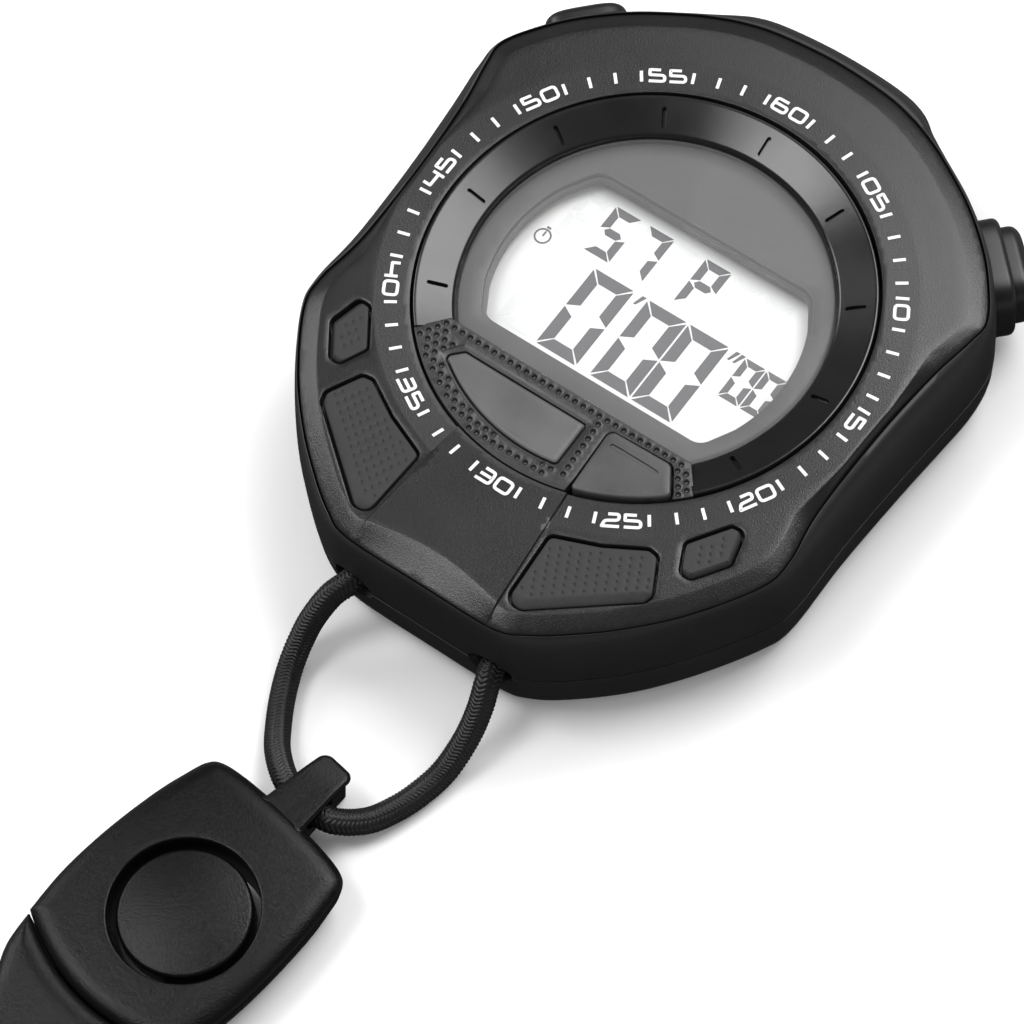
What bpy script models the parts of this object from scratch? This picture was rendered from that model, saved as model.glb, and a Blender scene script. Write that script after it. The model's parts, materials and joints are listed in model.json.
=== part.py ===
"""Digital hand-held stopwatch with its elastic cord loop and quick-release coupling.

Shapes are drawn in millimetres around the dial centre, with +X towards the "15" mark, +Y towards the
"60" mark and +Z out of the display, and are scaled to metres when their mesh is made. The watch lies
on its back on z = 0.
"""

import math

import bmesh
import bpy
from mathutils import Matrix, Vector

# Driving dimensions, in millimetres
MM = 0.001
GAP = 0.3  # clearance between neighbouring pieces
OUTLINE_STEPS = 54  # points round the case and face outlines
DIAL_Y = 1.4  # dial centre above the middle of the case's length

BACK_FLOOR = 1.8
PARTING_Z = 8.0
DECK_Z = (12.9, 14.5)
SEAM_Z = 16.35
DIAL_Z = 18.0
WALL = 2.4

SCALE_EDGE_R = 29.4
DIAL_OPENING_R = 25.4
LENS_R = 20.3
LENS_Z = (14.9, 16.3)
LENS_CHORD_Y = -13.7
PANEL_CHORD_Y = -14.0
PANEL_Z = (14.9, 17.6)

BOARD_Z = (7.6, 8.6)
BOARD_R = 23.8
KEY_STEM = (11.0, -19.6)
LCD_SIZE = (38.0, 24.0)
LCD_Z = (11.1, 12.9)

BATTERY_CENTRE = (0.0, -12.0)
BATTERY_R = 10.0
BATTERY_Z = (3.2, 6.4)

BUTTON_ANGLE = 45.0
BUTTON_Z = PARTING_Z
COLLAR_SIZE = (11.6, 10.2)
COLLAR_FACE_R = 39.7
CAP_SIZE = (9.6, 8.2)
CAP_FACE_R = 42.2
STEM_R = 1.9

CORD_DIAMETER = 2.9
CORD_HOLE_X = 9.2
CORD_HOLE_SIZE = (4.8, 3.8)

EYE = (0.8, -64.0, 3.4)
CONNECTOR_TURN = -9.5
CONNECTOR_TOP = 7.2
EYE_BORE_R = 2.3
RELEASE_X = 0.85
RELEASE_Y = -17.9
RELEASE_OPENING_R = 8.2
RELEASE_DISC_R = 7.2
TONGUE_ROOT_Y = -33.0

SCREW_PLACES = ((12.5, 29.5), (-12.5, 29.5), (19.5, -27.5), (-19.5, -27.5))
MODULE_SCREW_PLACES = ((21.4, 7.5), (-21.4, 7.5))

# Half outlines, from 12 o'clock down the right-hand side to 6 o'clock
CASE_HALF = (
    (0, 39.3), (7.4, 38.9), (11.3, 37.8), (13.8, 35.6), (16.8, 33.4), (22.0, 30.3), (27.2, 26.1),
    (30.9, 21.6), (33.1, 17.6), (33.6, 13.6), (33.2, 8.0), (32.6, 1.0), (32.0, -9.0), (31.9, -18.0),
    (30.6, -22.0), (26.4, -28.6), (21.8, -34.2), (16.6, -38.8), (12.8, -41.2), (9.2, -42.1), (0, -42.2),
)
FACE_HALF = (
    (0, 36.0), (7.0, 35.5), (11.0, 34.6), (14.2, 33.4), (17.2, 31.9), (22.2, 28.8), (26.7, 25.0),
    (29.9, 21.2), (32.0, 17.6), (31.8, 14.6), (30.8, 9.0), (30.0, 0), (29.8, -11.0), (30.6, -17.6),
    (29.9, -21.6), (25.6, -28.3), (21.0, -33.4), (16.6, -37.2), (12.9, -39.8), (9.4, -41.2), (0, -41.3),
)


def smooth_curve(points, steps, closed):
    """Catmull-Rom curve through points of any dimension, read at even steps along their list."""
    count = len(points)
    spans = count if closed else count - 1
    found = []
    for step in range(steps if closed else steps + 1):
        span = min(int(spans * step / steps), spans - 1)
        t = spans * step / steps - span
        picked = [span - 1, span, span + 1, span + 2]
        near = [points[i % count] if closed else points[min(max(i, 0), count - 1)] for i in picked]
        weights = (
            -0.5 * t + t * t - 0.5 * t**3,
            1 - 2.5 * t * t + 1.5 * t**3,
            0.5 * t + 2 * t * t - 1.5 * t**3,
            -0.5 * t * t + 0.5 * t**3,
        )
        found.append(tuple(sum(w * c for w, c in zip(weights, coords)) for coords in zip(*near)))
    return found


def symmetric_outline(half):
    """The anticlockwise closed outline of a half outline mirrored in the Y axis."""
    left = [(-x, y) for x, y in half[1:]]
    right = [(x, y) for x, y in reversed(half[1:-1])]
    return smooth_curve([half[0], *left, *right], OUTLINE_STEPS, closed=True)


def inset(outline, distance):
    """An anticlockwise outline moved inwards along its vertex normals."""
    moved = []
    for i, (x, y) in enumerate(outline):
        before, after = outline[i - 1], outline[(i + 1) % len(outline)]
        along = Vector((after[0] - before[0], after[1] - before[1])).normalized()
        moved.append((x - along.y * distance, y + along.x * distance))
    return moved


def mix(a, b, share):
    return [(p[0] + (q[0] - p[0]) * share, p[1] + (q[1] - p[1]) * share) for p, q in zip(a, b)]


def to_radius(outline, radius):
    """The outline's points moved along their own directions onto a circle."""
    return [(x * radius / math.hypot(x, y), y * radius / math.hypot(x, y)) for x, y in outline]


def at(outline, z):
    return [(x, y, z) for x, y in outline]


def arc(radius, start, end, steps, centre=(0, 0)):
    angles = [math.radians(start + (end - start) * i / steps) for i in range(steps + 1)]
    return [(centre[0] + radius * math.cos(a), centre[1] + radius * math.sin(a)) for a in angles]


def circle(radius, count=30, centre=(0, 0)):
    return arc(radius, 0, 360 - 360 / count, count - 1, centre)


def superellipse(width, height, power=4.0, count=20):
    """A rounded rectangle; a power of 2 gives an ellipse."""
    found = []
    for i in range(count):
        c, s = math.cos(2 * math.pi * i / count), math.sin(2 * math.pi * i / count)
        x = math.copysign(abs(c) ** (2 / power), c) * width / 2
        y = math.copysign(abs(s) ** (2 / power), s) * height / 2
        found.append((x, y))
    return found


def filleted(corners, steps=3):
    """An anticlockwise polygon of (x, y, fillet radius); a radius of 0 keeps the corner."""
    found = []
    for i, (x, y, radius) in enumerate(corners):
        corner = Vector((x, y))
        back = (Vector(corners[i - 1][:2]) - corner).normalized()
        ahead = (Vector(corners[(i + 1) % len(corners)][:2]) - corner).normalized()
        half = back.angle(ahead) / 2
        if radius == 0 or math.pi / 2 - half < 0.05:
            found.append((x, y))
            continue
        centre = corner + (back + ahead).normalized() * radius / math.sin(half)
        first = corner + back * radius / math.tan(half) - centre
        last = corner + ahead * radius / math.tan(half) - centre
        turn = first.angle_signed(last)
        for step in range(steps + 1):
            point = first.copy()
            point.rotate(Matrix.Rotation(-turn * step / steps, 2))
            found.append(tuple(centre + point))
    return found


# Objects and materials


def clear_scene():
    for obj in list(bpy.data.objects):
        bpy.data.objects.remove(obj)


def material(name, colour, roughness, metallic=0.0, alpha=1.0):
    made = bpy.data.materials.get(name) or bpy.data.materials.new(name)
    made.use_nodes = True
    shader = made.node_tree.nodes["Principled BSDF"]
    shader.inputs["Base Color"].default_value = (*colour, 1)
    shader.inputs["Roughness"].default_value = roughness
    shader.inputs["Metallic"].default_value = metallic
    shader.inputs["Alpha"].default_value = alpha
    return made


def materials():
    return {
        "case": material("case_rubberised", (0.022, 0.022, 0.023), 0.55),
        "face": material("face_matt", (0.05, 0.05, 0.052), 0.6),
        "ring": material("ring_satin", (0.03, 0.03, 0.031), 0.35),
        "rubber": material("rubber", (0.03, 0.03, 0.031), 0.8),
        "mask": material("mask_grey", (0.13, 0.13, 0.135), 0.5),
        "lens": material("clear_plastic", (0.95, 0.95, 0.95), 0.05, alpha=0.2),
        "lcd": material("lcd_pale", (0.86, 0.87, 0.86), 0.3),
        "frame": material("frame_white", (0.75, 0.75, 0.73), 0.5),
        "board": material("board_green", (0.03, 0.16, 0.06), 0.45),
        "chip": material("epoxy_black", (0.015, 0.015, 0.015), 0.4),
        "steel": material("steel", (0.6, 0.6, 0.61), 0.3, 1.0),
        "brass": material("brass", (0.75, 0.55, 0.25), 0.35, 1.0),
        "cord": material("cord_black", (0.02, 0.02, 0.021), 0.85),
        "coupling": material("coupling_black", (0.018, 0.018, 0.018), 0.5),
    }


DIAL_PLACE = Matrix.Translation((0, DIAL_Y * MM, 0))


def moved(offset):
    """The dial's frame moved by an offset in millimetres."""
    return DIAL_PLACE @ Matrix.Translation(Vector(offset) * MM)


def finish_mesh(name, mesh, surface, place, sharp_degrees=35):
    mesh.materials.append(surface)
    mesh.shade_smooth()
    mesh.set_sharp_from_angle(angle=math.radians(sharp_degrees))
    obj = bpy.data.objects.new(name, mesh)
    obj.matrix_world = place
    bpy.context.scene.collection.objects.link(obj)
    return obj


def loft(name, rings, surface, place=DIAL_PLACE, hollow=False):
    """A closed body through rings of (x, y, z); a hollow one joins its last ring to its first."""
    bm = bmesh.new()
    made = [[bm.verts.new(Vector(point) * MM) for point in ring] for ring in rings]
    pairs = list(zip(made, made[1:] + made[:1])) if hollow else list(zip(made, made[1:]))
    for low, high in pairs:
        for i in range(len(low)):
            j = (i + 1) % len(low)
            bm.faces.new((low[i], low[j], high[j], high[i]))
    if not hollow:
        bm.faces.new(made[0][::-1])
        bm.faces.new(made[-1])
    bmesh.ops.recalc_face_normals(bm, faces=bm.faces)
    mesh = bpy.data.meshes.new(name)
    bm.to_mesh(mesh)
    bm.free()
    return finish_mesh(name, mesh, surface, place)


def plate(name, outline, low, high, surface, place=DIAL_PLACE, chamfer=0.0):
    """An extruded outline, its top edge chamfered."""
    rings = [at(outline, low), at(outline, high - chamfer)]
    if chamfer:
        rings.append(at(inset(outline, chamfer), high))
    return loft(name, rings, surface, place)


def block(name, size, centre, surface, place=DIAL_PLACE):
    half_x, half_y, half_z = (s / 2 for s in size)
    x, y, z = centre
    near, far = y - half_y, y + half_y
    corners = [(x - half_x, near), (x + half_x, near), (x + half_x, far), (x - half_x, far)]
    return plate(name, corners, z - half_z, z + half_z, surface, place)


def hidden(obj):
    obj.hide_render = True
    obj.display_type = "WIRE"
    return obj


def combine(obj, tool, operation):
    """A Boolean kept as a modifier, with its tool left out of the model."""
    modifier = obj.modifiers.new(operation.lower(), "BOOLEAN")
    modifier.operation = operation
    modifier.object = hidden(tool)
    return obj


def cut(obj, *tools):
    for tool in tools:
        combine(obj, tool, "DIFFERENCE")
    return obj


def join(obj, *tools):
    for tool in tools:
        combine(obj, tool, "UNION")
    return obj


def coil(name, radius, wire, low, high, turns, surface, place=DIAL_PLACE, centre=(0, 0)):
    """A compression spring: a round wire swept along a helix about the local Z axis."""
    per_turn = 8
    count = int(turns * per_turn)
    rings = []
    for i in range(count + 1):
        share = i / count
        angle = 2 * math.pi * turns * share
        outward = Vector((math.cos(angle), math.sin(angle), 0))
        height = low + wire / 2 + (high - low - wire) * share
        middle = outward * radius + Vector((centre[0], centre[1], height))
        across = [outward, Vector((0, 0, 1)), -outward, Vector((0, 0, -1))]
        rings.append([middle + wire / 2 * direction for direction in across])
    return loft(name, rings, surface, place)


# Case


def build_case(surfaces):
    case, face = symmetric_outline(CASE_HALF), symmetric_outline(FACE_HALF)
    recess = inset(face, -0.35)
    top, bottom = PARTING_Z + GAP / 2, PARTING_Z - GAP / 2
    front = loft(
        "front_case",
        [
            at(case, top),
            at(case, 11.6),
            at(mix(case, recess, 0.12), 13.2),
            at(mix(case, recess, 0.35), 14.8),
            at(mix(case, recess, 0.7), 16.1),
            at(recess, SEAM_Z),
            at(recess, DECK_Z[1]),
            at(to_radius(case, 24.4), DECK_Z[1]),
            at(to_radius(case, 24.4), DECK_Z[0]),
            at(inset(case, WALL), DECK_Z[0]),
            at(inset(case, WALL), top),
        ],
        surfaces["case"],
        hollow=True,
    )
    for place in SCREW_PLACES:
        post_top = (DECK_Z[0] + DECK_Z[1]) / 2
        post = plate("post_shape", circle(2.3, 16, place), 3.9, post_top, surfaces["case"])
        join(front, post)
        cut(front, plate("post_bore", circle(1.2, 12, place), 3.0, 11.0, surfaces["case"]))
    rear = loft(
        "rear_case",
        [
            at(inset(case, 2.4), 0),
            at(inset(case, 0.9), 0.5),
            at(case, 3.0),
            at(case, bottom),
            at(inset(case, WALL), bottom),
            at(inset(case, WALL + 0.6), BACK_FLOOR),
        ],
        surfaces["case"],
    )
    for place in SCREW_PLACES:
        cut(rear, plate("screw_hole", circle(1.3, 12, place), -1, 3, surfaces["case"]))
        cut(rear, plate("screw_recess", circle(2.4, 16, place), -1, 1.1, surfaces["case"]))
    cut(rear, plate("cover_step", circle(13.3, centre=BATTERY_CENTRE), -1, 1.15, surfaces["case"]))
    cut(rear, bayonet_outline_tool(surfaces["case"]))
    for x in (CORD_HOLE_X, -CORD_HOLE_X):
        for shell in (front, rear):
            cut(shell, cord_hole_tool(x, surfaces["case"]))
    for angle in (BUTTON_ANGLE, 180 - BUTTON_ANGLE):
        frame = button_frame(angle)
        for shell in (front, rear):
            bore = plate("collar_bore", circle(4.9, 24), 30, 40, surfaces["case"], frame)
            pocket_size = (COLLAR_SIZE[0] + 2 * GAP, COLLAR_SIZE[1] + 2 * GAP)
            pocket = plate("collar_pocket", superellipse(*pocket_size), 36.4, 44, surfaces["case"], frame)
            cut(shell, bore, pocket)


def bayonet_outline_tool(surface):
    """The battery hole, with two notches that let the cover's tabs through."""
    x, y = BATTERY_CENTRE
    outline = []
    for middle in (135, 315):
        outline += arc(12.5, middle - 14, middle + 14, 6, BATTERY_CENTRE)
        outline += arc(11.6, middle + 14.5, middle + 165.5, 18, BATTERY_CENTRE)
    return plate("battery_hole", outline, 0.5, 3, surface)


def cord_hole_tool(x, surface):
    frame = moved((x, -38, PARTING_Z)) @ Matrix.Rotation(math.pi / 2, 4, "X")
    return plate("cord_hole", superellipse(*CORD_HOLE_SIZE, 2.0, 16), -3, 7, surface, frame)


def build_screws(surfaces):
    for i, place in enumerate(SCREW_PLACES):
        profile = ((2.1, 0.15), (2.1, 0.8), (0.9, 0.8), (0.9, 8.6))
        frame = moved((*place, 0))
        rings = [at(circle(r, 16), z) for r, z in profile]
        screw = loft(f"case_screw_{i + 1}", rings, surfaces["steel"], frame)
        for size in ((2.6, 0.55, 0.8), (0.55, 2.6, 0.8)):
            cut(screw, block("screw_cross", size, (0, 0, 0.2), surfaces["steel"], frame))
    for i, place in enumerate(MODULE_SCREW_PLACES):
        profile = ((0.65, 10.4), (0.65, 6.9), (1.3, 6.9), (1.3, 6.3))
        frame = moved((*place, 0))
        rings = [at(circle(r, 12), z) for r, z in profile]
        screw = loft(f"module_screw_{i + 1}", rings, surfaces["steel"], frame)
        cut(screw, block("module_screw_slot", (3, 0.4, 0.6), (0, 0, 6.2), surfaces["steel"], frame))


def build_battery_cover(surfaces):
    frame = moved((*BATTERY_CENTRE, 0))
    seal_groove = ((12.75, 0.85), (12.75, 0.45), (11.85, 0.45), (11.85, 0.85))
    profile = ((13.0, 0.15), (13.0, 0.85), *seal_groove, (11.2, 0.85), (11.2, 2.9))
    cover = loft("battery_cover", [at(circle(r), z) for r, z in profile], surfaces["case"], frame)
    for middle in (0, 180):
        tab = arc(12.2, middle - 11, middle + 11, 4) + arc(10.6, middle + 11, middle - 11, 4)
        join(cover, plate("bayonet_tab", tab, 2.1, 2.9, surfaces["case"], frame))
    cut(cover, block("coin_slot", (15.0, 1.8, 1.6), (0, 0, 0.35), surfaces["case"], frame))
    seal = ((12.05, 0.75), (12.3, 1.0), (12.55, 0.75), (12.3, 0.55))
    rings = [at(circle(r), z) for r, z in seal]
    loft("battery_cover_seal", rings, surfaces["rubber"], frame, hollow=True)


# Face


def face_rings(outline):
    """The face plate's top: a bevel inside the seam, a gentle slope and the flat band of the scale."""
    seam, crest, scale = [], [], []
    for x, y in outline:
        reach = math.hypot(x, y)
        scale_r = min(SCALE_EDGE_R, reach - 0.8)
        bevel = min(2.1, 0.5 * (reach - scale_r))
        crest_r = reach - bevel
        fall = 0.08 * (crest_r - scale_r)
        seam.append((x, y, SEAM_Z))
        crest.append((x * crest_r / reach, y * crest_r / reach, DIAL_Z - 0.1 - fall))
        scale.append((x * scale_r / reach, y * scale_r / reach, DIAL_Z))
    return seam, crest, scale


GRIP_PADS = {
    "grip_pad_upper": (
        (23.6, -17.7, 0.8), (20.5, -22.2, 0.9), (22.1, -25.5, 1.0), (23.6, -25.5, 1.0),
        (26.3, -21.6, 1.2), (25.3, -17.6, 1.0),
    ),
    "grip_pad_lower": (
        (8.3, -29.3, 1.0), (8.8, -38.2, 1.5), (11.0, -38.2, 1.5), (21.2, -30.2, 1.0),
        (21.6, -29.0, 1.0), (19.4, -24.9, 1.0), (18.0, -24.7, 1.0), (13.6, -27.2, 0),
    ),
}


def grip_outline(name, side):
    corners = [(side * x, y, r) for x, y, r in GRIP_PADS[name]]
    return filleted(corners if side > 0 else corners[::-1])


def build_face(surfaces):
    face = symmetric_outline(FACE_HALF)
    seam, crest, scale = face_rings(face)
    opening = to_radius(face, DIAL_OPENING_R)
    plate_rings = [
        at(to_radius(face, DIAL_OPENING_R), 14.8),
        at(face, 14.8),
        seam,
        crest,
        scale,
        at(opening, DIAL_Z - 0.15),
    ]
    face_plate = loft("face_plate", plate_rings, surfaces["face"], hollow=True)
    for name in GRIP_PADS:
        for side, word in ((1, "right"), (-1, "left")):
            outline = grip_outline(name, side)
            cut(face_plate, plate("grip_pocket", outline, 16.0, 20, surfaces["face"]))
            height = 17.9 if name == "grip_pad_upper" else 17.5
            plate(f"{name}_{word}", inset(outline, GAP), 16.0 + GAP, height, surfaces["rubber"], chamfer=0.3)


def panel_outline(shrink):
    """The lower segment of the dial, its ends cut at an angle."""
    end_angle = 43.0
    rim = DIAL_OPENING_R - shrink
    chord = PANEL_CHORD_Y + GAP - shrink
    bottom = arc(rim, 180 + end_angle, 360 - end_angle, 24)
    return bottom + [(15.9 - shrink / 2, chord), (-15.9 + shrink / 2, chord)]


def key_outline(shrink):
    low_left = (6.9 + shrink, -math.sqrt((25.0 - shrink) ** 2 - 6.9**2), 0.8)
    rim = [(x, y, 0) for x, y in arc(25.0 - shrink, -68, -52, 3)]
    right = [(16.5 - shrink, -18.6, 0.8), (14.6 - shrink, -15.3 - shrink, 0.9)]
    return filleted([low_left, *rim, *right, (6.0 + shrink, -15.3 - shrink, 0.9)])


def badge_outline(shrink):
    rim = 22.9 - shrink
    corners = [(x, y, 0) for x, y in arc(rim, -124, -84, 6)]
    left = (-14.4 + shrink, -18.2, 0.7)
    right = (4.4 - shrink, -math.sqrt(rim**2 - 4.4**2), 0.6)
    top = -15.7 - shrink
    return filleted([left, *corners, right, (4.3 - shrink, top, 0.6), (-12.6 + shrink, top, 0.6)])


def build_dial(surfaces):
    ring_profile = ((25.1, 14.9), (25.1, 17.75), (24.8, 17.9), (20.9, 16.6), (20.6, 16.35), (20.6, 14.9))
    ring = loft("bezel_ring", [at(circle(r, 48), z) for r, z in ring_profile], surfaces["ring"], hollow=True)
    cut(ring, plate("ring_notch", inset(panel_outline(GAP), -GAP - 0.05), 14, 20, surfaces["ring"]))
    cut(ring, block("ring_notch_rim", (38, 12.8, 6), (0, -23.6, 17), surfaces["ring"]))
    panel = plate("key_panel", panel_outline(GAP), *PANEL_Z, surfaces["face"], chamfer=0.15)
    key_rim = [(6.7, -21.5), (6.7, -27), (17.3, -27), (17.3, -18.4)]
    cut(panel, plate("key_opening", key_outline(-GAP), 14, 19, surfaces["face"]))
    cut(panel, plate("key_rim_opening", key_rim, 14, 19, surfaces["face"]))
    cut(panel, plate("badge_recess", badge_outline(-GAP), 16.6, 19, surfaces["face"]))
    plate("badge_plate", badge_outline(0), 16.6 + GAP, 18.0, surfaces["face"], chamfer=0.25)
    key = plate("mode_key", key_outline(0), 16.3, 18.1, surfaces["face"], chamfer=0.3)
    join(key, plate("key_stem", circle(1.4, 16, KEY_STEM), 10.7, 17, surfaces["face"]))
    chord_angle = math.degrees(math.asin(LENS_CHORD_Y / LENS_R))
    lens_outline = arc(LENS_R, chord_angle, 180 - chord_angle, 36)
    plate("lens", lens_outline, *LENS_Z, surfaces["lens"], chamfer=0.15)


def window_outline(grow):
    """The display opening: straight above and below, round at the sides like the dial."""
    half_height = 10.8 + grow
    radius = 18.0 + grow
    turn = math.degrees(math.asin(half_height / radius))
    corner = (radius * math.cos(math.radians(turn)), half_height, 2.4 + grow)
    right = [(x, y, 0) for x, y in arc(radius, 14 - turn, turn - 14, 6)]
    left = [(-x, -y, 0) for x, y, _ in right]
    corners = [(-1, 1), (-1, -1), (1, -1), (1, 1)]
    top_left, low_left, low_right, top_right = [(a * corner[0], b * corner[1], corner[2]) for a, b in corners]
    return filleted([*right, top_right, top_left, *left, low_left, low_right])


def build_display(surfaces):
    mask_circle = circle(24.1, 36)
    mask = plate("display_mask", mask_circle, 13.2, 14.6, surfaces["mask"])
    window = loft(
        "window_shape",
        [at(window_outline(0), 12.5), at(window_outline(0), 13.2), at(window_outline(1.3), 15.0)],
        surfaces["mask"],
    )
    stem_hole = plate("mask_stem_hole", circle(1.9, 16, KEY_STEM), 12, 16, surfaces["mask"])
    cut(mask, window, stem_hole)
    pad_profile = ((1.75, 14.9), (2.6, 14.9), (2.6, 15.5), (2.1, 16.0), (1.75, 16.0))
    pad_rings = [at(circle(r, 20, KEY_STEM), z) for r, z in pad_profile]
    loft("mode_key_spring", pad_rings, surfaces["rubber"], hollow=True)
    width, height = LCD_SIZE
    block("lcd_glass", (width, height, LCD_Z[1] - LCD_Z[0]), (0, 0, sum(LCD_Z) / 2), surfaces["lcd"])
    block("lcd_reflector", (width - 1, 18.6, 0.4), (0, 0, 10.6), surfaces["frame"])
    for word, y in (("upper", 11.0), ("lower", -11.0)):
        block(f"zebra_strip_{word}", (width - 3, 1.6, 1.9), (0, y, 9.85), surfaces["rubber"])


def build_module(surfaces):
    frame = plate("module_frame", circle(24.0, 36), 9.5, 12.6, surfaces["frame"])
    width, height = LCD_SIZE
    cut(frame, block("lcd_seat", (width + 0.6, height + 0.6, 4), (0, 0, 12.8), surfaces["frame"]))
    cut(frame, block("reflector_seat", (width - 0.4, 19.2, 2), (0, 0, 11.1), surfaces["frame"]))
    for y in (11.0, -11.0):
        cut(frame, block("zebra_slot", (width - 2.4, 2.2, 6), (0, y, 10), surfaces["frame"]))
    cut(frame, plate("frame_stem_hole", circle(1.9, 16, KEY_STEM), 8, 14, surfaces["frame"]))
    board = plate("circuit_board", circle(BOARD_R, 36), *BOARD_Z, surfaces["board"])
    for place in MODULE_SCREW_PLACES:
        cut(frame, plate("frame_screw_hole", circle(0.95, 12, place), 9, 11, surfaces["frame"]))
        cut(board, plate("board_screw_hole", circle(0.95, 12, place), 7, 9, surfaces["board"]))
    block("mode_switch", (4.2, 4.2, 0.8), (*KEY_STEM, 9.3), surfaces["steel"])
    cut(frame, block("switch_pocket", (5, 5, 1.2), (*KEY_STEM, 9.5), surfaces["frame"]))
    chip = [at(circle(r, 24, (-7, 11)), z) for r, z in ((5.4, 7.3), (5.0, 6.6), (3.6, 5.9), (1.4, 5.6))]
    loft("timing_chip", chip, surfaces["chip"])
    lying = moved((13, 10, 6.2)) @ Matrix.Rotation(math.pi / 2, 4, "Y")
    plate("quartz_crystal", circle(1.0, 16), -3, 3, surfaces["steel"], lying, chamfer=0.2)
    plate("buzzer_disc", circle(10.0, centre=(0, 16)), 2.1, 2.4, surfaces["brass"])
    coil("buzzer_spring", 1.3, 0.4, 2.7, 7.3, 5, surfaces["steel"], centre=(3, 18))


def build_battery(surfaces):
    low, high = BATTERY_Z
    cell = ((BATTERY_R - 0.5, low), (BATTERY_R, low + 0.4), (BATTERY_R, high - 0.5), (8.9, high))
    loft("battery_cell", [at(circle(r, centre=BATTERY_CENTRE), z) for r, z in cell], surfaces["steel"])
    x, y = BATTERY_CENTRE
    leaf = block("battery_contact_negative", (3, 11, 0.25), (x, y, 6.85), surfaces["brass"])
    join(leaf, block("leaf_root", (3, 1.2, 0.6), (x, y - 4.9, 7.0), surfaces["brass"]))
    clip = block("battery_contact_positive", (0.35, 5, 3.6), (x - BATTERY_R - 0.5, y, 5.5), surfaces["brass"])
    join(clip, block("clip_foot", (2.4, 5, 0.3), (x - BATTERY_R - 1.5, y, 7.15), surfaces["brass"]))


# Side push buttons, in a frame whose Z axis points out along the button and whose Y axis points up


def button_frame(angle):
    turn = Matrix.Rotation(math.radians(angle + 90), 4, "Z") @ Matrix.Rotation(math.pi / 2, 4, "X")
    return moved((0, 0, BUTTON_Z)) @ turn


def round_ring(radius, z):
    return at(superellipse(2 * radius, 2 * radius, 2.0), z)


def box_ring(size, shrink, z):
    return at(superellipse(size[0] - 2 * shrink, size[1] - 2 * shrink), z)


def build_button(name, angle, surfaces):
    frame = button_frame(angle)
    pocket = (CAP_SIZE[0] + 0.6, CAP_SIZE[1] + 0.6)
    loft(
        f"{name}_collar",
        [
            round_ring(4.6, 31.5),
            round_ring(4.6, 36.7),
            box_ring(COLLAR_SIZE, 0, 36.7),
            box_ring(COLLAR_SIZE, 0, COLLAR_FACE_R - 0.5),
            box_ring(COLLAR_SIZE, 0.15, COLLAR_FACE_R - 0.15),
            box_ring(COLLAR_SIZE, 0.5, COLLAR_FACE_R),
            box_ring(pocket, 0, COLLAR_FACE_R),
            box_ring(pocket, 0, 38.0),
            round_ring(3.7, 38.0),
            round_ring(3.7, 33.2),
            round_ring(STEM_R + GAP, 33.2),
            round_ring(STEM_R + GAP, 31.5),
        ],
        surfaces["case"],
        frame,
        hollow=True,
    )
    loft(
        f"{name}_cap",
        [
            round_ring(STEM_R, 29.9),
            round_ring(STEM_R, 30.4),
            round_ring(1.3, 30.4),
            round_ring(1.3, 31.5),
            round_ring(STEM_R, 31.5),
            round_ring(STEM_R, 39.3),
            box_ring(CAP_SIZE, 0, 39.3),
            box_ring(CAP_SIZE, 0, CAP_FACE_R - 1.0),
            box_ring(CAP_SIZE, 0.35, CAP_FACE_R - 0.4),
            box_ring(CAP_SIZE, 1.1, CAP_FACE_R),
        ],
        surfaces["case"],
        frame,
    )
    clip = [round_ring(1.6, 30.7), round_ring(3.2, 30.7), round_ring(3.2, 31.2), round_ring(1.6, 31.2)]
    clip = loft(f"{name}_clip", clip, surfaces["steel"], frame, hollow=True)
    cut(clip, block("clip_mouth", (1.8, 4, 2), (0, -2.6, 31), surfaces["steel"], frame))
    coil(f"{name}_spring", 2.8, 0.6, 33.5, 39.0, 4, surfaces["steel"], frame)
    leaf = block(f"{name}_contact", (4, 3.2, 0.3), (0, -0.2, 28.4), surfaces["brass"], frame)
    join(leaf, block("contact_foot", (4, 0.3, 6.2), (0, 1.05, 25.45), surfaces["brass"], frame))


# Cord loop and quick-release coupling

CORD_ROUTE = (
    (-9.0, -38.6, 8.0), (-9.3, -42.0, 8.0), (-10.4, -44.3, 7.0), (-11.2, -46.9, 4.9), (-11.3, -49.4, 3.0),
    (-10.8, -52.0, 1.8), (-9.6, -54.9, 1.5), (-7.9, -57.9, 1.6), (-5.7, -60.8, 2.3), (-2.5, -63.2, 3.3),
    (0.8, -64.0, 3.4), (4.0, -64.1, 3.3), (6.8, -61.8, 2.3), (8.4, -58.6, 1.6), (9.4, -55.6, 1.5),
    (10.0, -52.6, 1.6), (10.3, -50.0, 2.7), (10.4, -47.6, 4.3), (10.2, -45.4, 6.1), (9.7, -43.4, 7.6),
    (9.2, -41.6, 8.0), (9.0, -38.6, 8.0),
)


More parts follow.
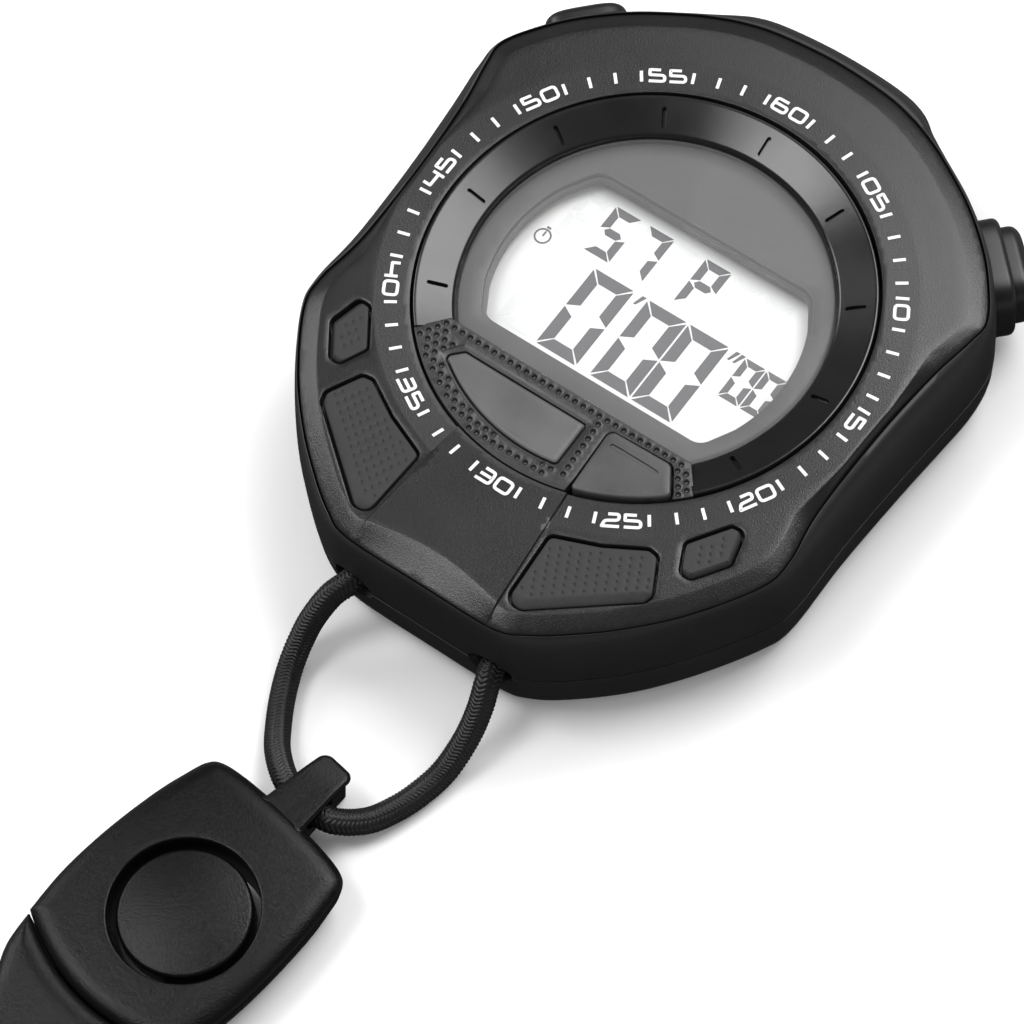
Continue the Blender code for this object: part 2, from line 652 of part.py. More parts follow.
def build_cord(surfaces):
    route = smooth_curve(CORD_ROUTE, 2 * (len(CORD_ROUTE) - 1), closed=False)
    curve = bpy.data.curves.new("cord_loop", "CURVE")
    curve.dimensions = "3D"
    curve.bevel_depth = CORD_DIAMETER / 2 * MM
    curve.bevel_resolution = 2
    curve.use_fill_caps = True
    curve.materials.append(surfaces["cord"])
    spline = curve.splines.new("POLY")
    spline.points.add(len(route) - 1)
    for point, (x, y, z) in zip(spline.points, route):
        point.co = (x * MM, y * MM, z * MM, 1)
    spline.use_smooth = True
    cord = bpy.data.objects.new("cord_loop", curve)
    cord.matrix_world = DIAL_PLACE
    bpy.context.scene.collection.objects.link(cord)
    for word, x in (("left", -9.0), ("right", 9.0)):
        frame = moved((x, -35, PARTING_Z)) @ Matrix.Rotation(math.pi / 2, 4, "X")
        ferrule = [(2.6, 0), (2.6, 4.2), (1.8, 4.2), (1.8, 3.3)]
        loft(f"cord_ferrule_{word}", [at(circle(r, 20), z) for r, z in ferrule], surfaces["steel"], frame)


def connector_frame():
    return moved(EYE) @ Matrix.Rotation(math.radians(CONNECTOR_TURN), 4, "Z")


SOCKET_HALF = (
    (0, -2.7), (5.5, -2.9), (9.4, -3.3), (10.7, -4.5), (11.7, -11.0), (12.2, -17.5), (12.1, -23.5), (11.3, -28.8),
)
SPLIT_HALF = 11.3
SPLIT_Y = -28.8
SPLIT_SAG = 2.8
TAIL_HALF = ((10.9, -30.1), (10.2, -33.0), (8.2, -36.6), (6.3, -40.4), (5.3, -43.4), (2.8, -44.8))
EYE_TAB_TIP = 4.9
EYE_TAB_HALF = {"root": 2.9, "tip": 2.3}
EYE_TAB_DRAFT = 0.9


def split_curve(lift, steps=8):
    """The curved joint between the coupling's halves, from right to left."""
    found = []
    for i in range(steps + 1):
        x = SPLIT_HALF * (1 - 2 * i / steps)
        found.append((x, SPLIT_Y - SPLIT_SAG * (1 - (x / SPLIT_HALF) ** 2) - lift))
    return found


def build_connector(surfaces):
    frame = connector_frame()
    floor, roof = -EYE[2], CONNECTOR_TOP - EYE[2]
    surface = surfaces["coupling"]
    side = smooth_curve(SOCKET_HALF, 16, closed=False)
    outline = side + split_curve(0)[1:-1] + [(-x, y) for x, y in reversed(side[1:])]
    outline = outline[::-1]
    socket = loft(
        "connector_socket",
        [
            at(inset(outline, 1.9), floor),
            at(inset(outline, 0.9), floor + 1.4),
            at(outline, roof - 2.0),
            at(inset(outline, 0.3), roof - 0.5),
            at(inset(outline, 1.0), roof),
        ],
        surface,
        frame,
    )
    sideways = frame @ Matrix.Rotation(math.pi / 2, 4, "Y") @ Matrix.Rotation(math.pi / 2, 4, "Z")
    low, high = floor + 0.3, roof - 0.2
    inner, tip = -5.0, EYE_TAB_TIP
    tab_profile = filleted([(inner, low, 0), (tip, low, 1.6), (tip, high, 1.6), (inner, high - 0.4, 0)])
    tab = plate("eye_tab", tab_profile, -EYE_TAB_HALF["root"], EYE_TAB_HALF["root"], surface, sideways)
    rings = []
    for z, draft in ((low - 0.1, EYE_TAB_DRAFT), (high - 0.5, 0), (high, 0.35)):
        root, end = EYE_TAB_HALF["root"] - draft, EYE_TAB_HALF["tip"] - draft
        ring = [(-root, inner - 0.1), (root, inner - 0.1), (end, tip + 0.1), (-end, tip + 0.1)]
        rings.append(at(ring, z))
    combine(tab, loft("eye_tab_sides", rings, surface, frame), "INTERSECT")
    join(socket, tab)
    cut(socket, plate("eye_bore", circle(EYE_BORE_R, 24), -4, 4, surface, sideways))
    wall_r = RELEASE_OPENING_R
    opening = ((wall_r, floor - 1), (wall_r, roof - 0.4), (wall_r + 0.7, roof + 0.3))
    rings = [at(circle(r, centre=(RELEASE_X, RELEASE_Y)), z) for r, z in opening]
    cut(socket, loft("release_opening", rings, surface, frame))
    cut(socket, block("tongue_slot", (10.4, 14, 3.2), (0, -31, -0.2), surface, frame))

    edge = split_curve(0.4)[1:-1]
    plug_outline = list(reversed(smooth_curve(TAIL_HALF, 10, closed=False))) + edge
    plug_outline += [(-x, y) for x, y in smooth_curve(TAIL_HALF, 10, closed=False)]
    plug = loft(
        "connector_plug",
        [
            at(inset(plug_outline, 1.4), floor),
            at(inset(plug_outline, 0.6), floor + 1.4),
            at(plug_outline, roof - 2.0),
            at(inset(plug_outline, 0.3), roof - 0.5),
            at(inset(plug_outline, 1.0), roof),
        ],
        surface,
        frame,
    )
    cut(plug, block("tongue_pocket", (9.8, 10, 3.2), (0, -31.2, -0.2), surface, frame))
    tail_frame = frame @ Matrix.Translation((0, -41.2 * MM, 0))
    slot = superellipse(7.0, 2.8, 3.0)
    cut(plug, plate("neck_cord_slot", slot, floor - 1, roof + 1, surface, tail_frame))

    tongue_frame = frame @ Matrix.Translation((0, TONGUE_ROOT_Y * MM, 0))
    reach = RELEASE_Y - TONGUE_ROOT_Y
    edge_r = RELEASE_DISC_R
    disc = ((edge_r, -0.8), (edge_r, 2.5), (edge_r - 0.5, 3.0), (4.6, 3.35), (2.0, 3.5))
    rings = [at(circle(r, centre=(RELEASE_X, reach)), z) for r, z in disc]
    tongue = loft("connector_tongue", rings, surface, tongue_frame)
    join(tongue, block("tongue_strip", (8.6, 13.0, 1.6), (0, 3.9, 0.0), surface, tongue_frame))


def main():
    clear_scene()
    surfaces = materials()
    build_case(surfaces)
    build_screws(surfaces)
    build_battery_cover(surfaces)
    build_face(surfaces)
    build_dial(surfaces)
    build_display(surfaces)
    build_module(surfaces)
    build_battery(surfaces)
    build_button("start_stop", BUTTON_ANGLE, surfaces)
    build_button("lap_reset", 180 - BUTTON_ANGLE, surfaces)
    build_cord(surfaces)
    build_connector(surfaces)


main()
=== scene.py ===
"""Looks of the digital stopwatch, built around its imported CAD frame.

Shapes are drawn in millimetres around the dial centre, +Z out of the display, and placed by the frame.
"""

import json
from math import asin, atan2, copysign, cos, degrees, dist, pi, radians, sin, sqrt, tan

import bmesh
import bpy
import numpy as np
from mathutils import Matrix, Vector, geometry, kdtree
from numpy import array, clip, hypot, interp, linspace, maximum, minimum, where
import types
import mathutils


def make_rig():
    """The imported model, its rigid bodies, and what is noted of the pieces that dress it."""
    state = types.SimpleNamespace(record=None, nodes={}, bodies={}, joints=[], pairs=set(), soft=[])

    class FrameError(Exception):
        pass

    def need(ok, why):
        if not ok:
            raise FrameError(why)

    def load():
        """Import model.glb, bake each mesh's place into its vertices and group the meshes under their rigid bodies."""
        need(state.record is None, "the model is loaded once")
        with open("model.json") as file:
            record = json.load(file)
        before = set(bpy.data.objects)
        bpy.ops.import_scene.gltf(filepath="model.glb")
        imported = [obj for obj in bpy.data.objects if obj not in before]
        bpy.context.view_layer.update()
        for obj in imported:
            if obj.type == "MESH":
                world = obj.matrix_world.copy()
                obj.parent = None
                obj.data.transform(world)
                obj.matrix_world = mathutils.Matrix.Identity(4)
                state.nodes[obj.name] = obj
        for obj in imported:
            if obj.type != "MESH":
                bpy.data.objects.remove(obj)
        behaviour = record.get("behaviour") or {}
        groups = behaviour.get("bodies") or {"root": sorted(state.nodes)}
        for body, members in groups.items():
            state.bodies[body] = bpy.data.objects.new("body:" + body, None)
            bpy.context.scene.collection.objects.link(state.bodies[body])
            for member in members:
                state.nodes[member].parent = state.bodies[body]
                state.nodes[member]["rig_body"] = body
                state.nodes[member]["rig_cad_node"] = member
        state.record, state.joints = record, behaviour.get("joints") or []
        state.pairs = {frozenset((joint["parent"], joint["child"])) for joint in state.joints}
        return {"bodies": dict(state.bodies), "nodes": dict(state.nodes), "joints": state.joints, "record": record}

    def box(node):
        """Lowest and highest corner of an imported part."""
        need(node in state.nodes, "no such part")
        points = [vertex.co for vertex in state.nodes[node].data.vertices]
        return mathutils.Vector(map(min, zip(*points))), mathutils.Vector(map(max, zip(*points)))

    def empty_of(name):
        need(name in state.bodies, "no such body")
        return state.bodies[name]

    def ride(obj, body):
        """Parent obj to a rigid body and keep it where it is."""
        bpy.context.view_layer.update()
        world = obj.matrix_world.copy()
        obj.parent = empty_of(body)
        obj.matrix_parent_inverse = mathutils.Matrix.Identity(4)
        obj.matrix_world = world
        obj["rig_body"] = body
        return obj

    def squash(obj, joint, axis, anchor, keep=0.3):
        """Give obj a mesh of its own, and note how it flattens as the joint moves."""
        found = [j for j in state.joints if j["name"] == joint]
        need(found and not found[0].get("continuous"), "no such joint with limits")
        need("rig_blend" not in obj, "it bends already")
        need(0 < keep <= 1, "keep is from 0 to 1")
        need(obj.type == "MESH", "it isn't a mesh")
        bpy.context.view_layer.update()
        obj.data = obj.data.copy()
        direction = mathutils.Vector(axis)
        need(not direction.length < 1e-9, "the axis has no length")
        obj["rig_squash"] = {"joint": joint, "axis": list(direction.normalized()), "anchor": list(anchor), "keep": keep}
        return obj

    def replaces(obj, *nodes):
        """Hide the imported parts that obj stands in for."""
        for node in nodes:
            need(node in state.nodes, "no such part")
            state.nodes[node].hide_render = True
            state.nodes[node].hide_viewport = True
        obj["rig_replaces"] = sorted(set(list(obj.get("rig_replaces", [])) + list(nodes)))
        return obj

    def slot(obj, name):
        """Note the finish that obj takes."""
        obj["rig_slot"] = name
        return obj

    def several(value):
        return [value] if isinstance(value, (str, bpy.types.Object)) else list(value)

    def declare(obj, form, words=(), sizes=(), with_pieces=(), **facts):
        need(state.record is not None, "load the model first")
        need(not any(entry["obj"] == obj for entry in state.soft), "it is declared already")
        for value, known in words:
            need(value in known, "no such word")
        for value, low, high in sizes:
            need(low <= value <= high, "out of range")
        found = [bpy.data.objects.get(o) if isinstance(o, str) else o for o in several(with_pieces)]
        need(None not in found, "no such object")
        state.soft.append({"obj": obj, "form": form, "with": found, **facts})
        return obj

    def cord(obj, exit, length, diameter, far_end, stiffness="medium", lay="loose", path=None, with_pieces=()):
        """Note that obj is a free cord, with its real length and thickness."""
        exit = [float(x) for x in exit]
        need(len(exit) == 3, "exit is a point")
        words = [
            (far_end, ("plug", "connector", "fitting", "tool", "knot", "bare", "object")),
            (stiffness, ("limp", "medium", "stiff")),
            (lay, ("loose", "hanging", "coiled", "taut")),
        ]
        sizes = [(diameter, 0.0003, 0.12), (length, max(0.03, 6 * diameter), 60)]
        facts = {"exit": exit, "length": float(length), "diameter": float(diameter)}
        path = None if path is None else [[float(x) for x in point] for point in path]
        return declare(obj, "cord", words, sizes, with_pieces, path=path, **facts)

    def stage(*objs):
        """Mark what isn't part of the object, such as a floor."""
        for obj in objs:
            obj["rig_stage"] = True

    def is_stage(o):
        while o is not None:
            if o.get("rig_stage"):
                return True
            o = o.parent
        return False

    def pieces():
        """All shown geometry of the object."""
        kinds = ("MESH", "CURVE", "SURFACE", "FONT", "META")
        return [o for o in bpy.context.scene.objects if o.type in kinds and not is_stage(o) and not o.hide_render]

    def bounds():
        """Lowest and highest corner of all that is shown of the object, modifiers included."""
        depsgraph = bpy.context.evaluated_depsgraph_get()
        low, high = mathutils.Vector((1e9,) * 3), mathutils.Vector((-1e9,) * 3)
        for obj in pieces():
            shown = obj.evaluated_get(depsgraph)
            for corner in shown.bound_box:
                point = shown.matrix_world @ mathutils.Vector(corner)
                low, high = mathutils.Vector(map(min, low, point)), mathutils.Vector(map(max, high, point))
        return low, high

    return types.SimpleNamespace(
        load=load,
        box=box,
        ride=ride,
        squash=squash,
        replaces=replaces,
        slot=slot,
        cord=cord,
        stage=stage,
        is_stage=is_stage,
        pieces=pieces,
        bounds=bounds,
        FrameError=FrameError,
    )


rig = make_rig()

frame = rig.load()
cad_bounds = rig.bounds()

MM = 0.001
GAP = 0.3
BOARD_LOW, BOARD_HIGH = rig.box("circuit_board")
DIAL = Matrix.Translation(((BOARD_LOW.x + BOARD_HIGH.x) / 2, (BOARD_LOW.y + BOARD_HIGH.y) / 2, 0))
SLOTS = {row["node"]: row["material_slot"] for row in frame["record"]["subparts"]}

# Heights and radii, in millimetres, as in the frame
SEAM_Z = 16.8
PARTING_Z = 8
SCALE_EDGE_R = 29.4
OPENING_R = 25.4
SCALE_R = 27.5
LENS_R = 20.3
LENS_CHORD_Y = -13.7
PANEL_CHORD_Y = -14
BUTTON_ANGLES = (45, 135)
COLLAR_SIZE = (11.6, 10.2)
COLLAR_FACE_R = 39.7
CAP_SIZE = (9.6, 8.2)
CAP_FACE_R = 42.2
STEM_R = 1.9
BATTERY_CENTRE = (0, -12)
SCREW_PLACES = ((12.5, 29.5), (-12.5, 29.5), (19.5, -27.5), (-19.5, -27.5))
CORD_DIAMETER = 2.9
CORD_HOLE_X = 9.2
EYE = (0.8, -64, 3.4)
CONNECTOR_TURN = -9.5
CONNECTOR_TOP = 7.2
DISC_PLACE = (0.85, -17.9)
DISC_HOLE_R = 8.05
TONGUE_ROOT_Y = -33

CASE_HALF = (
	(0, 39.3), (7.4, 38.9), (11.3, 37.8), (13.8, 35.6), (16.8, 33.4), (22, 30.3), (27.2, 26.1),
	(30.9, 21.6), (33.1, 17.6), (33.6, 13.6), (33.2, 8), (32.6, 1), (32, -9), (31.9, -18),
	(30.6, -22), (26.4, -28.6), (21.8, -34.2), (16.6, -38.8), (12.8, -41.2), (9.2, -42.1), (0, -42.2),
)
FACE_HALF = (
	(0, 36), (7, 35.5), (11, 34.6), (14.2, 33.4), (17.2, 31.9), (22.2, 28.8), (26.7, 25),
	(29.9, 21.2), (32, 17.6), (31.8, 14.6), (30.8, 9), (30, 0), (29.8, -11), (30.6, -17.6),
	(29.9, -21.6), (25.6, -28.3), (21, -33.4), (16.6, -37.2), (12.9, -39.8), (9.4, -41.2), (0, -41.3),
)
CORD_ROUTE = (
	(-9, -38.6, 8), (-9.3, -42, 8), (-10.4, -44.3, 7), (-11.2, -46.9, 4.9), (-11.3, -49.4, 3),
	(-10.8, -52, 1.8), (-9.6, -54.9, 1.5), (-7.9, -57.9, 1.6), (-5.7, -60.8, 2.3), (-2.5, -63.2, 3.3),
	(0.8, -64, 3.4), (4, -64.1, 3.3), (6.8, -61.8, 2.3), (8.4, -58.6, 1.6), (9.4, -55.6, 1.5),
	(10, -52.6, 1.6), (10.3, -50, 2.7), (10.4, -47.6, 4.3), (10.2, -45.4, 6.1), (9.7, -43.4, 7.6),
	(9.2, -41.6, 8), (9, -38.6, 8),
)

# Places, curves and closed loops

def shift(x, y, z):
	return Matrix.Translation(Vector((x, y, z)) * MM)

def turned(angle, axis):
	return Matrix.Rotation(radians(angle), 4, axis)

def polar(angle, radius=1):
	return Vector((cos(radians(angle)), sin(radians(angle)))) * radius

def smooth_curve(points, steps, closed=False):
	"""Catmull-Rom curve through points of any dimension."""
	count = len(points)
	spans = count if closed else count - 1
	found = []
	for step in range(steps if closed else steps + 1):
		span = min(int(spans * step / steps), spans - 1)
		t = spans * step / steps - span
		near = [points[i % count if closed else min(max(i, 0), count - 1)] for i in range(span - 1, span + 3)]
		weights = (
			-0.5 * t + t * t - 0.5 * t**3, 1 - 2.5 * t * t + 1.5 * t**3,
			0.5 * t + 2 * t * t - 1.5 * t**3, -0.5 * t * t + 0.5 * t**3,
		)
		found.append(tuple(sum(w * c for w, c in zip(weights, coords)) for coords in zip(*near)))
	return found

def both_halves(half):
	right = [(x, y) for x, y in reversed(half[1:-1])]
	return smooth_curve([half[0], *[(-x, y) for x, y in half[1:]], *right], 400, closed=True)

def inset(loop, distance):
	"""An anticlockwise loop moved inwards along its vertex normals."""
	moved = []
	for i, (x, y) in enumerate(loop):
		before, after = loop[i - 1], loop[(i + 1) % len(loop)]
		along = Vector((after[0] - before[0], after[1] - before[1])).normalized()
		moved.append((x - along.y * distance, y + along.x * distance))
	return moved

def insets(loop, *distances):
	return [inset(loop, distance) for distance in distances]

def at(loop, z):
	return [(x, y, z) for x, y in loop]

def arc(radius, start, end, steps, centre=(0, 0)):
	angles = [radians(start + (end - start) * i / steps) for i in range(steps + 1)]
	return [(centre[0] + radius * cos(a), centre[1] + radius * sin(a)) for a in angles]

def circle(radius, count=96, centre=(0, 0)):
	return arc(radius, 0, 360 - 360 / count, count - 1, centre)

def squircle(width, height, power=4, count=96):
	found = []
	for i in range(count):
		c, s = cos(2 * pi * i / count), sin(2 * pi * i / count)
		x, y = copysign(abs(c) ** (2 / power), c), copysign(abs(s) ** (2 / power), s)
		found.append((x * width / 2, y * height / 2))
	return found

def filleted(corners, steps=8):
	"""An anticlockwise polygon of (x, y, fillet radius); a radius of 0 keeps the corner."""
	found = []
	for i, (x, y, radius) in enumerate(corners):
		corner = Vector((x, y))
		back = (Vector(corners[i - 1][:2]) - corner).normalized()
		ahead = (Vector(corners[(i + 1) % len(corners)][:2]) - corner).normalized()
		half = back.angle(ahead) / 2
		if radius == 0 or pi / 2 - half < 0.05:
			found.append((x, y))
			continue
		centre = corner + (back + ahead).normalized() * radius / sin(half)
		first = corner + back * radius / tan(half) - centre
		turn = first.angle_signed(corner + ahead * radius / tan(half) - centre)
		for step in range(steps + 1):
			point = first.copy()
			point.rotate(Matrix.Rotation(-turn * step / steps, 2))
			found.append(tuple(centre + point))
	return found

def even(loop, spacing, least=0):
	"""A loop with points at about even spacing, at least this far apart."""
	found = []
	for a, b in zip(loop, [*loop[1:], loop[0]]):
		steps = max(1, round(dist(a, b) / spacing))
		for step in range(steps):
			share = step / steps
			point = (a[0] + (b[0] - a[0]) * share, a[1] + (b[1] - a[1]) * share)
			if not found or dist(point, found[-1]) >= least:
				found.append(point)
	if dist(found[-1], found[0]) < least:
		found.pop()
	return found

# Distances on arrays of points

def within(loop, x, y):
	"""Distance to a closed loop, positive inside it."""
	points = array(loop, float)
	least = np.full(x.shape, 1e9)
	inside = np.zeros(x.shape, bool)
	for (ax, ay), (bx, by) in zip(points, np.roll(points, -1, axis=0)):
		dx, dy = bx - ax, by - ay
		share = clip(((x - ax) * dx + (y - ay) * dy) / max(dx * dx + dy * dy, 1e-12), 0, 1)
		least = minimum(least, hypot(x - ax - share * dx, y - ay - share * dy))
		crosses = (ay > y) != (by > y)
		inside ^= crosses & (x < ax + (y - ay) * dx / where(by == ay, 1e-12, dy))
	return where(inside, least, -least)

def nearest(places):
	"""A measure of the distance to the nearest of these places."""
	tree = kdtree.KDTree(len(places))
	for i, (x, y) in enumerate(places):
		tree.insert((x, y, 0), i)
	tree.balance()
	return lambda x, y: array([tree.find((a, b, 0))[2] for a, b in zip(x, y)])

def smooth(share):
	share = clip(share, 0, 1)
	return share * share * (3 - 2 * share)

def fall(distance, radius):
	"""How far a rounded edge falls at this distance in from it."""
	inward = clip(radius - distance, 0, radius)
	return radius - np.sqrt(maximum(radius**2 - inward**2, 0))

# Meshes

def add_object(name, data):
	made = bpy.data.objects.new(name, data)
	bpy.context.scene.collection.objects.link(made)
	return made

def shaded(mesh, sharp):
	mesh.shade_smooth()
	mesh.set_sharp_from_angle(angle=radians(sharp))

def piece(name, points, faces, look, place=DIAL, sharp=32):
	"""An object of millimetre points, put in the frame by its place."""
	mesh = bpy.data.meshes.new(name)
	mesh.from_pydata([place @ (Vector(p) * MM) for p in points], [], faces)
	mesh.validate()
	bm = bmesh.new()
	bm.from_mesh(mesh)
	bmesh.ops.delete(bm, geom=[v for v in bm.verts if not v.link_faces], context="VERTS")
	bmesh.ops.recalc_face_normals(bm, faces=bm.faces)
	bm.to_mesh(mesh)
	bm.free()
	mesh.materials.append(LOOKS[look])
	shaded(mesh, sharp)
	return add_object(name, mesh)

def bands(low, high):
	"""Faces between two closed rings of point numbers."""
	return [(low[i - 1], low[i], high[i], high[i - 1]) for i in range(len(low))]

def loft(name, rings, look, place=DIAL, hollow=False, sharp=32):
	"""A closed body through rings of (x, y, z); a hollow one joins its last ring to its first."""
	count = len(rings[0])
	numbers = [range(k * count, (k + 1) * count) for k in range(len(rings))]
	faces = [] if hollow else [tuple(numbers[0])[::-1], tuple(numbers[-1])]
	for k in range(0 if hollow else 1, len(rings)):
		faces += bands(numbers[k - 1], numbers[k])
	return piece(name, [p for ring in rings for p in ring], faces, look, place, sharp)

def plate(name, loop, low, high, look, place=DIAL, chamfer=0):
	rings = [at(loop, low), at(loop, high - chamfer)]
	for turn in (22.5, 45, 67.5, 90) if chamfer else ():
		shape = inset(loop, chamfer * (1 - cos(radians(turn))))
		rings.append(at(shape, high - chamfer * (1 - sin(radians(turn)))))
	return loft(name, rings, look, place)

def block(name, size, centre, look, place):
	(x, y, z), (half_x, half_y, half_z) = centre, (s / 2 for s in size)
	corners = [(x + a * half_x, y + b * half_y) for a, b in ((-1, -1), (1, -1), (1, 1), (-1, 1))]
	return plate(name, corners, z - half_z, z + half_z, look, place)

def combine(obj, *tools, operation="DIFFERENCE", sharp=32):
	"""A Boolean with each tool in turn, applied, and the tools removed."""
	for tool in tools:
		modifier = obj.modifiers.new("boolean", "BOOLEAN")
		modifier.operation = operation
		modifier.object = tool
		graph = bpy.context.evaluated_depsgraph_get()
		mesh = bpy.data.meshes.new_from_object(obj.evaluated_get(graph))
		obj.modifiers.clear()
		obj.data = mesh
		bpy.data.objects.remove(tool)
	shaded(obj.data, sharp)

def triangulated(outer, holes, lines=(), spacing=None):
	"""A plan region's points, its triangles, and the point numbers of its outer loop and of each hole."""
	loops = [[Vector(p) for p in loop] for loop in (outer, *holes, *lines)]
	points, edges = [p for loop in loops for p in loop], []
	for loop in loops:
		start = len(edges)
		edges += [(start + i, start + (i + 1) % len(loop)) for i in range(len(loop))]

	def inside(x, y):
		return np.all([within(outer, x, y) > 0, *[within(hole, x, y) < 0 for hole in holes]], axis=0)

	if spacing:
		low, high = np.min(outer, axis=0), np.max(outer, axis=0)
		columns, rows = ((high - low) / (spacing, spacing * 0.866)).astype(int) + 1
		column, row = np.meshgrid(np.arange(columns), np.arange(rows))
		x = low[0] + spacing * (column + 0.5 * (row % 2)).ravel()
		y = low[1] + spacing * 0.866 * row.ravel()
		free = inside(x, y)
		x, y = x[free], y[free]
		free = nearest(points)(x, y) > 0.55 * spacing
		points += [Vector(p) for p in zip(x[free], y[free])]
	found, _, faces, sources, _, _ = geometry.delaunay_2d_cdt(points, edges, [], 0, 1e-7)
	found = array([tuple(p) for p in found])
	triangles = array(faces)
	triangles = triangles[inside(*found[triangles].mean(axis=1).T)]
	place = {source: i for i, many in enumerate(sources) for source in many}
	numbers, start = [], 0
	for loop in loops[:1 + len(holes)]:
		numbers.append([place[start + i] for i in range(len(loop))])
		start += len(loop)
	return found, triangles, numbers

def relief(name, outer, height, look, skirt, holes=(), floors=None, lines=(), spacing=0.5, place=DIAL,
		sharp=32):
	"""A body over a plan region, with its top at height(x, y) and skirts of (inset or loop, z) down its edges.

	A hole's skirt that ends above the base gets a floor of its own.
	"""
	found, triangles, numbers = triangulated(outer, holes, lines, spacing)
	points = [(*p, z) for p, z in zip(found, height(*found.T))]
	faces = [tuple(t) for t in triangles]
	base = skirt[-1][1]
	bottom = []
	for loop, ring, steps in zip((outer, *holes), numbers, (skirt, *(floors or [[(0, base)]] * len(holes)))):
		for distance, level in steps:
			new = range(len(points), len(points) + len(loop))
			points += at(distance if isinstance(distance, list) else inset(loop, distance), level)
			faces += bands(ring, new)
			ring = new
		if level > base:
			faces.append(tuple(ring))
		else:
			bottom.append(ring)
	flat = [[points[k][:2] for k in ring] for ring in bottom]
	_, triangles, numbers = triangulated(flat[0], flat[1:])
	match = {low: k for lows, ring in zip(numbers, bottom) for low, k in zip(lows, ring)}
	faces += [tuple(match[k] for k in triangle) for triangle in triangles if all(k in match for k in triangle)]
	return piece(name, points, faces, look, place, sharp)

def keep(obj, slot, *replaced, body="case"):
	"""The piece rides on its body, takes its finish from the slot and stands for these CAD nodes."""
	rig.ride(obj, body)
	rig.slot(obj, slot)
	if replaced:
		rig.replaces(obj, *replaced)

# Materials

def put(node, **values):
	"""Sets a node's inputs; an underscore in a name stands for a space."""
	for name, value in values.items():
		node.inputs[name.replace("_", " ")].default_value = value
	return node

def wire(tree, *rows):
	for source, output, target, socket in rows:
		tree.links.new(source.outputs[output], target.inputs[socket])

def ramp(nodes, *stops):
	made = nodes.new("ShaderNodeValToRGB")
	while len(made.color_ramp.elements) < len(stops):
		made.color_ramp.elements.new(0.5)
	for element, (position, colour) in zip(made.color_ramp.elements, stops):
		element.position = position
		element.color = (*colour, 1)
	return made

def grained(name, colour, roughness, grain=0.12, bump=0.25, shade=0.18, patch=6, spread=0.06,
		metallic=0, specular=0.5, alpha=1):
	"""Moulded plastic: fine grain in its bump, and slow drifts of colour and roughness.

	grain and patch are sizes in millimetres; shade is the share by which the colour drifts.
	"""
	made = bpy.data.materials.new(name)
	made.use_nodes = True
	nodes = made.node_tree.nodes
	shader = put(nodes["Principled BSDF"], Base_Color=(*colour, 1), Roughness=roughness, Metallic=metallic,
		Specular_IOR_Level=specular, Alpha=alpha)
	place = nodes.new("ShaderNodeTexCoord")
	slow = put(nodes.new("ShaderNodeTexNoise"), Scale=1 / (patch * MM), Detail=5)
	tint = ramp(nodes, (0.3, [c * (1 - shade) for c in colour]), (0.7, [c * (1 + shade) for c in colour]))
	fine = put(nodes.new("ShaderNodeTexNoise"), Scale=1 / (grain * MM), Detail=3, Roughness=0.6)
	rough = put(nodes.new("ShaderNodeMapRange"), From_Min=0.3, From_Max=0.7, To_Min=roughness - spread,
		To_Max=roughness + spread)
	dents = put(nodes.new("ShaderNodeBump"), Strength=bump, Distance=grain * 0.35 * MM)
	wire(
		made.node_tree, (place, "Object", slow, "Vector"), (place, "Object", fine, "Vector"),
		(slow, "Fac", tint, "Fac"), (tint, "Color", shader, "Base Color"), (slow, "Fac", rough, "Value"),
		(rough, "Result", shader, "Roughness"), (fine, "Fac", dents, "Height"), (dents, "Normal", shader, "Normal"),
	)
	return made

